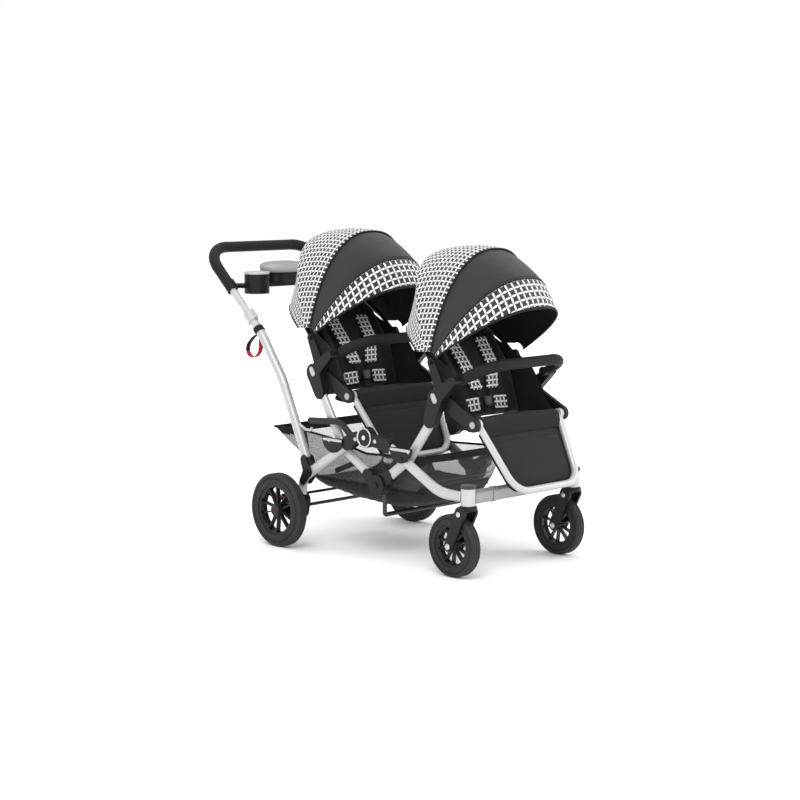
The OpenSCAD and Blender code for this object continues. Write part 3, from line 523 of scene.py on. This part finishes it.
strap_x = -0.256
band_at = np.array([strap_x, 0.4052, 0.7310])
turned("wrist_strap_band", band_at, BAR_DIR,
              [(-0.011, 0.0165), (-0.011, 0.0182), (-0.009, 0.0190), (0.009, 0.0190), (0.011, 0.0182),
               (0.011, 0.0165)],
              webbing, "handle")
STRAP_W, STRAP_T = 0.010, 0.0011
hang = rows([(strap_x, 0.4180, 0.7140), (strap_x, 0.4340, 0.705), (strap_x, 0.4600, 0.682),
             (strap_x, 0.4690, 0.660),
             (strap_x, 0.4590, 0.640), (strap_x, 0.4370, 0.631), (strap_x, 0.4140, 0.640), (strap_x,
                     0.3980, 0.660),
             (strap_x, 0.3960, 0.684), (strap_x, 0.3990, 0.702)], 60, 8)
for name, part, finish, slot in (("upper", hang[:24], webbing, "seat_fabric"),
                                 ("lower", hang[23:], red_webbing, "red_plastic")):
    piece = sewn("wrist_strap_" + name, part, STRAP_W, STRAP_T, finish, "handle", round_off=0.002,
                 ring=20)
    length = float(np.linalg.norm(np.diff(part, axis=0), axis=1).sum())

# The parent tray: a black console clipped between the arms, with a grey rim on each cup
# holder and a domed grey lid with a thumb tab over its middle bin.
cup_ring = moulded("cup_rim_grey", (0.46, 0.46, 0.47), 0.38)
CUP_TOP, CUP_INSIDE = 0.922, 0.041
cups = []
for sign in SIDES.values():
    r = CUP_INSIDE
    lip = [(-0.004, r + 0.0037), (0.0005, r + 0.0050), (0.0030, r + 0.0046), (0.0040, r + 0.0026),
           (0.0032, r + 0.0006),
           (0.0, r - 0.0002), (-0.006, r - 0.0004), (-0.006, r + 0.0004), (-0.004, r + 0.0037)]
    cups.append(turned("cup_rim", (sign * 0.160, 0.5275, CUP_TOP), (0, 0, 1), lip, cup_ring,
                       "handle_top", 72))
joined("cup_rims", cups)
lid_grey = moulded("lid_grey", (0.24, 0.24, 0.25), 0.33)
lid_t = np.linspace(0, 2 * math.pi, 96, endpoint=False)


def lid_outline(scale):
    """A kidney: an oval whose front edge is drawn in towards the middle."""
    x = 0.108 * scale * np.sign(np.cos(lid_t)) * np.abs(np.cos(lid_t)) ** 0.75
    y = 0.048 * scale * np.sign(np.sin(lid_t)) * np.abs(np.sin(lid_t)) ** 0.85
    return x, y + 0.008 * scale * np.cos(lid_t * 2) * (np.sin(lid_t) < 0)


lid_rows = []
for scale, height in [(0, 0.0), (0.97, 0.0), (1.0, 0.0015), (1.0, 0.0060), (0.985, 0.0090), (0.93, 0.0125),
                      (0.86, 0.0150), (0.7, 0.0180), (0.5, 0.0198), (0.25, 0.0208), (0, 0.0210)]:
    x, y = lid_outline(scale)
    lean = 0.26 * (y + 0.043) * min(1.0, height / 0.006)
    lid_rows.append(np.stack([x, y + 0.5575, 0.9195 + height + lean], -1))
lid = surface("tray_lid_dome", np.array(lid_rows), lid_grey, "tray_cover", ring=True)
sewn("tray_lid_tab", [(0, 0.5185, 0.9243), (0, 0.513, 0.9245), (0, 0.508, 0.9243), (0, 0.5058, 0.9235)],
           0.0115, 0.0020, lid_grey, "tray_cover", power=4, round_off=0.003, ring=24)
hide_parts("tray_lid")

# The caster stems end in black scalloped caps, and the forks turn on them.
STEM_TOP = 0.2921
stem_finish = coated("stem_coat", SILVER)
_, _, height = stem_finish.axes()
on_cap = height.step(STEM_TOP - 0.0002, STEM_TOP + 0.0002)
stem_cloud = stem_finish.noise(6.0, 4.0)
stem_finish.paint(stem_finish.mix(on_cap, SILVER, BLACK))
stem_finish.rough(stem_cloud * 0.14 + 0.3)
stem_finish.set(stem_finish.shader, {"Metallic": (1 - on_cap) * 0.25})
dress(stem_finish, "caster_stems")
for name, sign in SIDES.items():
    for body, x, y, z, radius in ((name + "_caster", 0.255, -0.5370, 0.1015, 0.0080),
                                  (name + "_caster", 0.255, -0.5825, 0.2106, 0.0068)):
        parts = []
        for face in (-1, 1):
            reach = 0.0332 if radius > 0.007 else 0.0322
            parts.append(turned("fork_bolt", (sign * x + face * reach, y, z), (face, 0, 0),
                                domed(0.0026, radius), steel, body, 24))
        joined(f"fork_bolt_{name}_{'low' if radius > 0.007 else 'high'}", parts)
leg_finish = coated("leg_rest_coat", SILVER)
leg_x, _, _ = leg_finish.axes()
on_disc = leg_x.math("ABSOLUTE").step(0.2064, 0.2068)
leg_finish.paint(leg_finish.mix(on_disc, SILVER, (0.33, 0.33, 0.34)))
dress(leg_finish, "rear_leg_frame", "front_leg_frame")
button_grey = moulded("button_grey", (0.40, 0.40, 0.41), 0.36)
dress(button_grey, "rear_left_button", "rear_right_button", "front_left_button", "front_right_button")

# The seats. Both are the same unit, so each piece is made twice, once at either recline hub.
# Local points are (y, z) from the hub, forward being -y.
HUBS = {"rear": np.array([0.0, 0.1405, 0.601]), "front": np.array([0.0, -0.4365, 0.559])}
black_cloth = woven("black_cloth", (0.0075, 0.0075, 0.0085), sheen=0.08)
charcoal_cloth = woven("charcoal_cloth", (0.012, 0.012, 0.013), light=1.2, sheen=0.08)
lining_cloth = woven("lining_cloth", (0.007, 0.007, 0.008), sheen=0.05)


def side_view(hub, points, x=0.0):
    """Side view points (y, z) at this distance across, as points in the stroller's frame."""
    points = np.array(points, float)
    return hub + np.stack([np.full(len(points), float(x)), points[:, 0], points[:, 1]], -1)


def settle(piece, rest_of_cap=0.008, size=0.006):
    """Plumps a sewn form as stuffed cloth: remeshed, blown up a little by cloth simulation,
    and each point then moves at most rest_of_cap from where it was cut."""
    remesh = piece.modifiers.new("remesh", "REMESH")
    remesh.mode = "VOXEL"
    remesh.voxel_size = size
    bpy.context.view_layer.objects.active = piece
    with bpy.context.temp_override(object=piece, active_object=piece, selected_objects=[piece]):
        bpy.ops.object.modifier_apply(modifier=remesh.name)
    count = len(piece.data.vertices)
    cut = np.zeros(count * 3, np.float32)
    piece.data.vertices.foreach_get("co", cut)
    cut = cut.reshape(-1, 3)
    cloth = piece.modifiers.new("cloth", "CLOTH")
    cloth.settings.use_pressure = True
    cloth.settings.uniform_pressure_force = 4.0
    cloth.settings.effector_weights.gravity = 0.0
    cloth.settings.quality = 4
    cloth.settings.tension_stiffness = 12
    scene = bpy.context.scene
    for frame_number in range(1, 21):
        scene.frame_set(frame_number)
    shaped = piece.evaluated_get(bpy.context.evaluated_depsgraph_get()).to_mesh()
    blown = np.zeros(count * 3, np.float32)
    shaped.vertices.foreach_get("co", blown)
    blown = blown.reshape(-1, 3)
    piece.modifiers.remove(cloth)
    scene.frame_set(1)
    move = blown - cut
    reach = np.linalg.norm(move, axis=1, keepdims=True)
    move *= np.minimum(1.0, rest_of_cap / np.maximum(reach, 1e-9))
    piece.data.vertices.foreach_set("co", (cut + move).astype(np.float32).ravel())
    piece.data.polygons.foreach_set("use_smooth", [True] * len(piece.data.polygons))
    return piece


def ridge(value, centre, width):
    """A smooth bump of height 1 at centre, this wide."""
    return np.exp(-((value - centre) / width) ** 2)


BACK_FRONT = [(0.001, -0.083), (0.037, 0.071), (0.117, 0.179), (0.182, 0.237)]
BACK_REAR = [(0.036, -0.086), (0.072, 0.061), (0.147, 0.156), (0.205, 0.214)]
BACK_MID = [((a[0] + b[0]) / 2, (a[1] + b[1]) / 2) for a, b in zip(BACK_FRONT, BACK_REAR)]
BACK_HALF, BACK_TOP_HALF = 0.174, 0.118


def back_relief(u, v):
    """Side bolsters, a padded middle and three stitched channels across."""
    bolsters = 0.011 * (ridge(u, -0.82, 0.17) + ridge(u, 0.82, 0.17))
    middle = 0.007 * np.clip(1 - (u / 0.6) ** 2, 0, 1)
    channels = sum(ridge(v, at, 0.012) for at in (0.3, 0.52, 0.74)) * (np.abs(u) < 0.62)
    gutters = ridge(np.abs(u), 0.62, 0.035)
    return bolsters + middle - 0.004 * channels - 0.004 * gutters


for which, hub in HUBS.items():
    posts, back = which + "_posts", which + "_back"
    line = rows(side_view(hub, BACK_MID), 70, 6)
    local_z = line[:, 2] - hub[2]
    widths = BACK_HALF - (BACK_HALF - BACK_TOP_HALF) * np.clip((local_z - 0.15) / 0.08, 0, 1) ** 1.6
    pad = sewn(which + "_back_cushion", line, widths, 0.0150, black_cloth, back,
               side=(-1, 0, 0), power=5, ring=110, round_off=0.016, relief=back_relief)
    settle(pad, 0.006)
    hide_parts(which + "_back_pad")
    seat_line = rows(side_view(hub, [(-0.026, -0.0945), (-0.07, -0.0850), (-0.127, -0.0725)]), 40, 2)
    seat = sewn(which + "_seat_cushion", seat_line, 0.178, 0.0125, black_cloth, posts,
                power=5, ring=110, round_off=0.012,
                relief=lambda u, v: 0.006 * np.clip(1 - u * u, 0, 1) - 0.003 * ridge(np.abs(u), 0.7, 0.03))
    settle(seat, 0.005)
    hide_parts(which + "_seat_pad")


def flat_size(points):
    """The flat width, length and area of a grid of cloth, from its own edges."""
    a, b, c, d = points[:-1, :-1], points[:-1, 1:], points[1:, 1:], points[1:, :-1]
    area = (np.linalg.norm(np.cross(b - a, d - a), axis=2) + np.linalg.norm(np.cross(b - c, d - c),
            axis=2)).sum() / 2
    width = np.linalg.norm(np.diff(points, axis=1), axis=2).sum(1).max()
    length = np.linalg.norm(np.diff(points, axis=0), axis=2).sum(0).max()
    return float(width), float(length), float(area)


def thicken(piece, thickness, inner, offset=-1.0):
    """Gives a sheet its lined thickness, with the lining on the inner face."""
    piece.data.materials.append(inner.material)
    wall = piece.modifiers.new("lining", "SOLIDIFY")
    wall.thickness = thickness
    wall.offset = offset
    wall.material_offset = len(piece.data.materials) - 1
    wall.material_offset_rim = len(piece.data.materials) - 1
    return piece


# The seat's sides: a gusset of black cloth on each side closes the gap between the cushion and the seat arms. It is
# sewn to both.
for which, hub in HUBS.items():
    for name, sign in SIDES.items():
        fore = np.array([(-0.128, -0.060), (-0.095, -0.020), (-0.070, 0.030), (-0.030, 0.085),
                         (0.020, 0.112)])
        aft = np.array([(0.020, -0.085), (0.038, -0.010), (0.055, 0.066), (0.095, 0.125), (0.145, 0.180)])
        wing_rows = []
        for share in np.linspace(0, 1, 18):
            line = rows(side_view(hub, fore * (1 - share) + aft * share), 30, 4)
            line[:, 0] = sign * (0.1865 - 0.0155 * share - 0.004 * math.sin(math.pi * share))
            wing_rows.append(line)
        wing_rows = np.array(wing_rows)
        wing = surface(f"{which}_{name}_gusset", wing_rows, black_cloth, None)
        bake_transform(wing)
        width, length, area = flat_size(wing_rows)

# The leg rest: a padded charcoal panel stitched round a silver tube, with one fold line.
LEG_DOWN = np.array([-0.523, -0.852])
KNEE = np.array([-0.145, -0.071])
for which, hub in HUBS.items():
    def leg_relief(u, v):
        """Crowned between the tubes, with a stitched border and a fold under the knee."""
        crown = 0.008 * np.clip(1 - u ** 4, 0, 1) * np.clip(1 - (2 * v - 1) ** 6, 0, 1)
        border = ridge(np.abs(u), 0.88, 0.02) + ridge(v, 0.955, 0.012)
        return crown - 0.003 * ridge(v, 0.2, 0.015) - 0.002 * border

    behind = np.array([0.852, -0.523]) * 0.0170
    stations = [KNEE + LEG_DOWN * d + behind for d in (0.026, 0.09, 0.16, 0.236)]
    line = rows(side_view(hub, stations), 70, 0)
    down = np.linspace(0, 1, 70)
    widths = np.interp(down, [0, 0.9, 1.0], [0.196, 0.160, 0.138])
    panel = sewn(which + "_leg_rest_panel", line, widths, 0.0052, charcoal_cloth, which + "_leg_rest",
                 power=4, ring=90, round_off=0.010, relief=leg_relief)
    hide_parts(which + "_leg_panel")
    # The seat's cloth runs over the knee and down behind the panel's upper edge.
    over = rows(side_view(hub, [(-0.1235, -0.0610), (-0.140, -0.0560), (-0.158, -0.0640), (-0.163, -0.085),
                                (-0.163, -0.112)]), 40, 6)
    flap = sewn(which + "_knee_flap", over, 0.1815, 0.0028, black_cloth, None, power=6,
                ring=60, round_off=0.003)
    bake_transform(flap)


# The bumper bars: foam over a tube, snapped on black brackets at both ends.
bumper_foam = moulded("bumper_foam", (0.008, 0.008, 0.009), 0.7, grain=0.0004)
bumper_foam.bump(bumper_foam.noise(520.0, 3.0), 0.0004, 0.7)
dress(bumper_foam, "rear_bumper_bar", "front_bumper_bar")


# The harness: patterned pads on black webbing, lying on the cushion, with a black buckle.
def lattice(name, cell, petal=0.17, ink=(0.013, 0.013, 0.014), paper=(0.80, 0.80, 0.79)):
    """Printed cloth: white petals along the lines of a square grid on black, four of them
    meeting at every crossing. A petal is the lens between two circle arcs of half width
    `petal` cells; the pattern lies on the piece's own cloth coordinates in metres."""
    made = Finish(name, paper, 0.8, Sheen_Weight=0.2, Sheen_Roughness=0.5)
    u, v, _ = made.axes(made.node("UVMap", {"uv_map": "cloth"}))
    cell_u = (u * (1 / cell)).math("FRACT") - 0.5
    cell_v = (v * (1 / cell)).math("FRACT") - 0.5
    across_u, across_v = cell_u.math("ABSOLUTE"), cell_v.math("ABSOLUTE")
    far = across_u.math("MAXIMUM", across_v)
    near = across_u.math("MINIMUM", across_v)
    shift = (0.25 - petal * petal) / (2 * petal)
    radius = petal + shift
    gap = (0.5 + shift) - far
    lens = (gap * gap + near * near).math("SQRT")
    white = (radius - lens).step(-0.012, 0.014)
    soiled = made.noise(6.0, 4.0)
    made.paint(made.mix(white, made.mix(soiled, tint(ink, 0.8), tint(ink, 1.4)),
                        made.mix(soiled, tint(paper, 0.94), paper)))
    x, y, z = made.axes()
    turn = 2 * math.pi / 0.0011
    threads = ((x + y * 0.35) * turn).math("SINE") * ((z - y * 0.8) * turn).math("SINE")
    made.bump(threads * 0.5 + made.noise(160.0, 3.0), 0.0003, 0.7)
    return made


harness_print = lattice("harness_print", 0.0185)
buckle_plastic = moulded("buckle_plastic", (0.018, 0.018, 0.019), 0.3)


def on_back(hub, along, lift, x):
    """A point this far up the back's front face from its bend, lifted off it, at x."""
    bend = np.array(BACK_FRONT[1])
    upper = np.array(BACK_FRONT[2]) - bend
    lower = bend - np.array(BACK_FRONT[0])
    upper, lower = upper / np.linalg.norm(upper), lower / np.linalg.norm(lower)
    way = upper if along > 0 else lower
    normal = np.array([-way[1], way[0]])
    y, z = bend + way * along + normal * lift
    return hub + np.array([x, y, z])


for which, hub in HUBS.items():
    back = which + "_back"
    pieces = []
    for sign in SIDES.values():
        strap = rows([on_back(hub, 0.134, 0.004, sign * 0.073), on_back(hub, 0.11, 0.0105, sign * 0.071),
                      on_back(hub, 0.02, 0.0115, sign * 0.064), on_back(hub, -0.06, 0.0135, sign * 0.037),
                      on_back(hub, -0.098, 0.0165, sign * 0.016)], 40, 3)
        pieces.append(sewn("strap", strap, 0.0125, 0.0010, webbing, back,
                           side=(-1, 0, 0), power=6, ring=20, round_off=0.002))
        waist = rows([on_back(hub, -0.112, 0.0085, sign * 0.135), on_back(hub, -0.110, 0.0125, sign * 0.08),
                      on_back(hub, -0.106, 0.0165, sign * 0.020)], 30, 2)
        up = np.array([0.0, 0.2276, 0.9737])
        pieces.append(sewn("waist_strap", waist, 0.0120, 0.0010, webbing, back,
                           side=up * -sign, power=6, ring=20, round_off=0.002))
    crotch = rows([on_back(hub, -0.110, 0.0165, 0.0), on_back(hub, -0.132, 0.022, 0.0),
                   on_back(hub, -0.148, 0.034, 0.0)], 16, 2)
    pieces.append(sewn("crotch_strap", crotch, 0.0125, 0.0010, webbing, back,
                       side=(-1, 0, 0), power=6, ring=20, round_off=0.002))
    straps = joined(which + "_harness_straps", pieces)
    pads = []
    for sign in SIDES.values():
        over_strap = rows([on_back(hub, 0.122, 0.0135, sign * 0.072),
                           on_back(hub, 0.02, 0.0155, sign * 0.064),
                           on_back(hub, -0.062, 0.0175, sign * 0.036)], 40, 3)
        pads.append(sewn("shoulder_pad", over_strap, 0.0275, 0.0042, harness_print, back,
                         side=(-1, 0, 0), power=4, ring=36, round_off=0.006))
        over_waist = rows([on_back(hub, -0.111, 0.0150, sign * 0.100),
                           on_back(hub, -0.108, 0.0175, sign * 0.035)], 20, 0)
        pads.append(sewn("waist_pad", over_waist, 0.0215, 0.0034, harness_print, back,
                         side=up * -sign, power=4, ring=36, round_off=0.006))
    pads = joined(which + "_harness_pads", pads)
    buckle_line = rows([on_back(hub, -0.084, 0.0215, 0.0), on_back(hub, -0.122, 0.0225, 0.0)], 16, 0)
    sewn(which + "_harness_buckle", buckle_line, np.interp(np.linspace(0, 1, 16), [0, 0.5, 1],
                                                           [0.021, 0.019, 0.015]), 0.0052,
                  buckle_plastic, back, side=(-1, 0, 0), power=3.4, ring=40, round_off=0.006,
                  relief=lambda u, v: 0.0018 * ridge(np.hypot(u, (v - 0.45) * 1.7), 0, 0.42))
    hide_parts(which + "_harness")

# The canopies: printed cloth sewn to a plain charcoal panel and stretched over hinged
# bows. The back panel is fixed; the hood slides in under its front edge when it folds.
BOW_BACK, BOW_MID, BOW_SEAM, BOW_FRONT = (math.radians(a) for a in (-22, 14, 40, 58))
CANOPY_PIVOT = np.array([0.054, 0.113])
CANOPY_HALF, CANOPY_R, BOX_POWER = 0.218, 0.374, 2.4
FOOT = np.array([0.209, 0.216])
HOOD_DROP = 0.005
arch_t = np.radians(np.linspace(3.5, 176.5, 121))


def arch_radius(lean):
    """How far an arch stands from the pivot: less and less past the middle bow."""
    past = np.maximum(np.degrees(lean) - 14, 0) / 44
    return CANOPY_R - 0.031 * past ** 1.3


def arch(lean, inset=0.0, belly=0.0):
    """A rounded-box arch turned about the pivot by `lean`: half its width across and its
    radius high, both raised to 2 over the box power of the cosine and sine."""
    r = (arch_radius(lean) - inset - belly) * np.sin(arch_t) ** (2 / BOX_POWER)
    cosine = np.cos(arch_t)
    x = (CANOPY_HALF - inset) * np.sign(cosine) * np.abs(cosine) ** (2 / BOX_POWER)
    return np.stack([x, CANOPY_PIVOT[0] - r * np.sin(lean), CANOPY_PIVOT[1] + r * np.cos(lean)], -1)


def foot_edge(inset=0.0):
    """The back panel's lower edge: up the sides from the pivot and across behind the seat."""
    s = np.minimum(1, np.sin(arch_t) ** 0.55 * 1.25)
    side = (CANOPY_HALF - inset) * (1 - s) + (CANOPY_HALF - 0.024 - inset) * s
    cosine = np.cos(arch_t)
    x = side * np.sign(cosine) * np.abs(cosine) ** 0.62
    y = CANOPY_PIVOT[0] + 0.024 + s * (FOOT[0] - CANOPY_PIVOT[0] - 0.024 - inset)
    z = CANOPY_PIVOT[1] + 0.006 + s * (FOOT[1] - CANOPY_PIVOT[1] - 0.006 + 0.6 * inset)
    return np.stack([x, y, z], -1)


def cloth_coordinates(points, last=None):
    """Metres along each row from its middle, and metres down each column from its first row.
    Rows after the `last` one keep its measure, as a straight drop of cloth does."""
    along = np.zeros(points.shape[:2])
    along[:, 1:] = np.cumsum(np.linalg.norm(np.diff(points, axis=1), axis=2), axis=1)
    along -= along[:, along.shape[1] // 2][:, None]
    if last is not None:
        along[last:] = along[last]
    down = np.zeros(points.shape[:2])
    down[1:] = np.cumsum(np.linalg.norm(np.diff(points, axis=0), axis=2), axis=0)
    return np.stack([along, down], -1)


back_print = lattice("back_print", 0.0180, petal=0.145)
visor_print = lattice("visor_print", 0.0240, petal=0.145)
piping_cloth = woven("piping_cloth", (0.009, 0.009, 0.010), pitch=0.0014, sheen=0.08)
hood_cloth = woven("hood_cloth", (0.027, 0.027, 0.029), light=1.15, sheen=0.15)
for which, hub in HUBS.items():
    back, hood = which + "_back", which + "_hood"
    # The back panel, from the middle bow over the rear bow and down to the foot edge.
    leans = np.linspace(BOW_MID, BOW_BACK, 26)
    sag = 0.004 * np.sin(np.pi * (leans - BOW_BACK) / (BOW_MID - BOW_BACK)) ** 2
    over_top = [arch(a, 0.0004, s) for a, s in zip(leans, sag)]
    rear_arch, foot = arch(BOW_BACK, 0.0004), foot_edge(0.0004)
    drop = []
    for k in np.linspace(0, 1, 27)[1:]:
        row = rear_arch * (1 - k) + foot * k
        hollow = 0.007 * math.sin(math.pi * k) * np.sin(arch_t) ** 0.5
        row[:, 1] -= hollow
        drop.append(row)
    sheet = hub + np.array(over_top + drop)
    sheet = sheet[:, ::-1]
    panel = surface(which + "_canopy_back_panel", sheet, back_print, back,
                    uv=cloth_coordinates(sheet, last=len(over_top)))
    thicken(panel, 0.0020, lining_cloth)
    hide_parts(which + "_canopy_back")
    width, length, area = flat_size(sheet)
    # The hood: a plain panel to the seam bow, then the printed visor to the front bow.
    plain = np.linspace(math.radians(13.0), BOW_SEAM, 24)
    taut = 0.003 * np.sin(np.pi * (plain - plain[0]) / (plain[-1] - plain[0])) ** 2
    plain_sheet = hub + np.array([arch(a, HOOD_DROP, s) for a, s in zip(plain, taut)])
    visor_leans = np.linspace(BOW_SEAM, BOW_FRONT, 18)
    visor_sheet = hub + np.array([arch(a, HOOD_DROP) for a in visor_leans])
    for name, grid, finish, slot in (("hood_panel", plain_sheet, hood_cloth, "charcoal_fabric"),
                                     ("visor", visor_sheet, visor_print, "pattern_fabric")):
        made = surface(f"{which}_canopy_{name}", grid, finish, hood, uv=cloth_coordinates(grid))
        thicken(made, 0.0020, lining_cloth)
        width, length, area = flat_size(grid)
        if name == "hood_panel":
            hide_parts(which + "_canopy_hood")
    # Piping: on the back panel's front and lower edges, the seam bow and the front bow.
    tube(which + "_canopy_middle_piping", hub + arch(BOW_MID, 0.0005), 0.0026, piping_cloth, back,
         10)
    tube(which + "_canopy_foot_piping", hub + foot_edge(0.001), 0.0030, piping_cloth, back, 10)
    tube(which + "_canopy_seam_piping", hub + arch(BOW_SEAM, HOOD_DROP - 0.0003), 0.0022, piping_cloth,
         hood, 10)
    tube(which + "_canopy_seam_cord", hub + arch(BOW_SEAM - 0.032, HOOD_DROP - 0.0002), 0.0013,
         hood_cloth, hood, 8)
    front_band = np.array([arch(a, HOOD_DROP - 0.0012) for a in np.linspace(BOW_FRONT - 0.016,
            BOW_FRONT, 5)]) + hub
    band_piece = surface(which + "_canopy_front_band", front_band, piping_cloth, hood)
    thicken(band_piece, 0.0038, piping_cloth)
    tube(which + "_canopy_front_piping", hub + arch(BOW_FRONT, HOOD_DROP + 0.0005), 0.0032,
         piping_cloth, hood, 10)

# The basket: coated black cloth slung between the legs, with mesh sides and a sagging
# floor. Its rim is bound in webbing and its ends are hooked to the frame.
AXLE_Y = 0.2275
FLOOR_PATH = np.array([(-0.560, 0.352), (-0.560, 0.250), (-0.500, 0.176), (-0.400, 0.157), (-0.200, 0.165),
                       (-0.016, 0.189), (0.088, 0.340), (0.110, 0.398)])
RIM_Y = [-0.560, -0.300, -0.120, 0.114]
RIM_Z = [0.352, 0.340, 0.376, 0.398]
HALF_Y = [-0.560, -0.500, 0.034, 0.062, 0.114]
HALF_X = [0.182, 0.198, 0.198, 0.214, 0.252]


def basket_cloth(inset):
    """Rows across the basket from rim to rim, one for each station along its floor: down
    one side, over the floor and up the other, as a rounded box of power 5."""
    stations = rows(np.column_stack([np.zeros(len(FLOOR_PATH)), FLOOR_PATH]), 90, 5)[:, 1:]
    angle = np.linspace(0, math.pi, 81)
    grid = []
    for y, z in stations:
        rim = np.interp(y, RIM_Y, RIM_Z)
        half = np.interp(y, HALF_Y, HALF_X) - inset
        depth = max(rim - z, 0.0005)
        x = -half * np.sign(np.cos(angle)) * np.abs(np.cos(angle)) ** (2 / 5)
        lower = np.sin(angle) ** (2 / 5)
        # The floor hangs a little lower between its stays, and the sides draw in.
        ripple = 0.003 * np.sin(9 * y / 0.06) * (1 - np.abs(x) / 0.26)
        draw = 0.012 * np.sin(np.pi * np.clip(lower, 0, 1)) * min(1.0, depth / 0.1)
        x = x - np.sign(x) * draw
        grid.append(np.stack([x, np.full(81, y + AXLE_Y),
                              rim - (depth - inset) * lower + ripple * lower], -1))
    return np.array(grid)


basket_black = woven("basket_black", (0.009, 0.009, 0.010), pitch=0.0016, roughness=0.7, sheen=0.08)
mesh_cloth = Finish("basket_mesh", (0.10, 0.10, 0.105), 0.75)
_, mesh_y, mesh_z = mesh_cloth.axes()
MESH_TURN = 2 * math.pi / 0.0034
holes = (((mesh_y + mesh_z) * MESH_TURN).math("SINE") * ((mesh_y - mesh_z) * MESH_TURN).math("SINE")).step(-0.5, -0.15)
mesh_cloth.set(mesh_cloth.shader, {"Alpha": 1 - holes * 0.52})
mesh_cloth.paint(mesh_cloth.mix(mesh_cloth.noise(12.0), (0.045, 0.045, 0.047), (0.11, 0.11, 0.112)))
mesh_cloth.bump(holes, 0.0005)
cloth_rows = basket_cloth(0.001)
basket = surface("basket_tub", cloth_rows, basket_black, "rear_frame",
                 uv=cloth_coordinates(cloth_rows))
basket.data.materials.append(mesh_cloth.material)
centres = np.zeros(len(basket.data.polygons) * 3, np.float32)
basket.data.polygons.foreach_get("center", centres)
centres = centres.reshape(-1, 3)
below_band = centres[:, 2] < np.interp(centres[:, 1] - AXLE_Y, RIM_Y, RIM_Z) - 0.024
side_panel = (np.abs(centres[:, 0]) > 0.172) & (centres[:, 1] < 0.225) & (centres[:, 2] > 0.235)
rear_panel = centres[:, 1] > 0.235
front_panel = (centres[:, 1] < -0.29) & (centres[:, 2] > 0.25)
basket.data.polygons.foreach_set("material_index",
                                 (below_band & (side_panel | rear_panel | front_panel)).astype(np.int32))
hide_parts("basket")
width, length, area = flat_size(cloth_rows)
rim_line = np.vstack([cloth_rows[:, 0], cloth_rows[::-1, -1]])
keep = np.concatenate([[True], np.linalg.norm(np.diff(rim_line, axis=0), axis=1) > 0.002])
tube("basket_rim_binding", rim_line[keep], 0.0042, webbing, "rear_frame", 10, closed=True)
panel_edges = []
for column in (0, -1):
    side_rows = cloth_rows[:, :41] if column == 0 else cloth_rows[:, :39:-1]
    picked = [row[np.argmin(np.abs(row[:, 2] - 0.225))] for row in side_rows if -0.31 < row[0, 1] < 0.225]
    panel_edges.append(tube("mesh_edge", np.array(picked), 0.0028, webbing, "rear_frame", 8))
joined("basket_mesh_bindings", panel_edges)
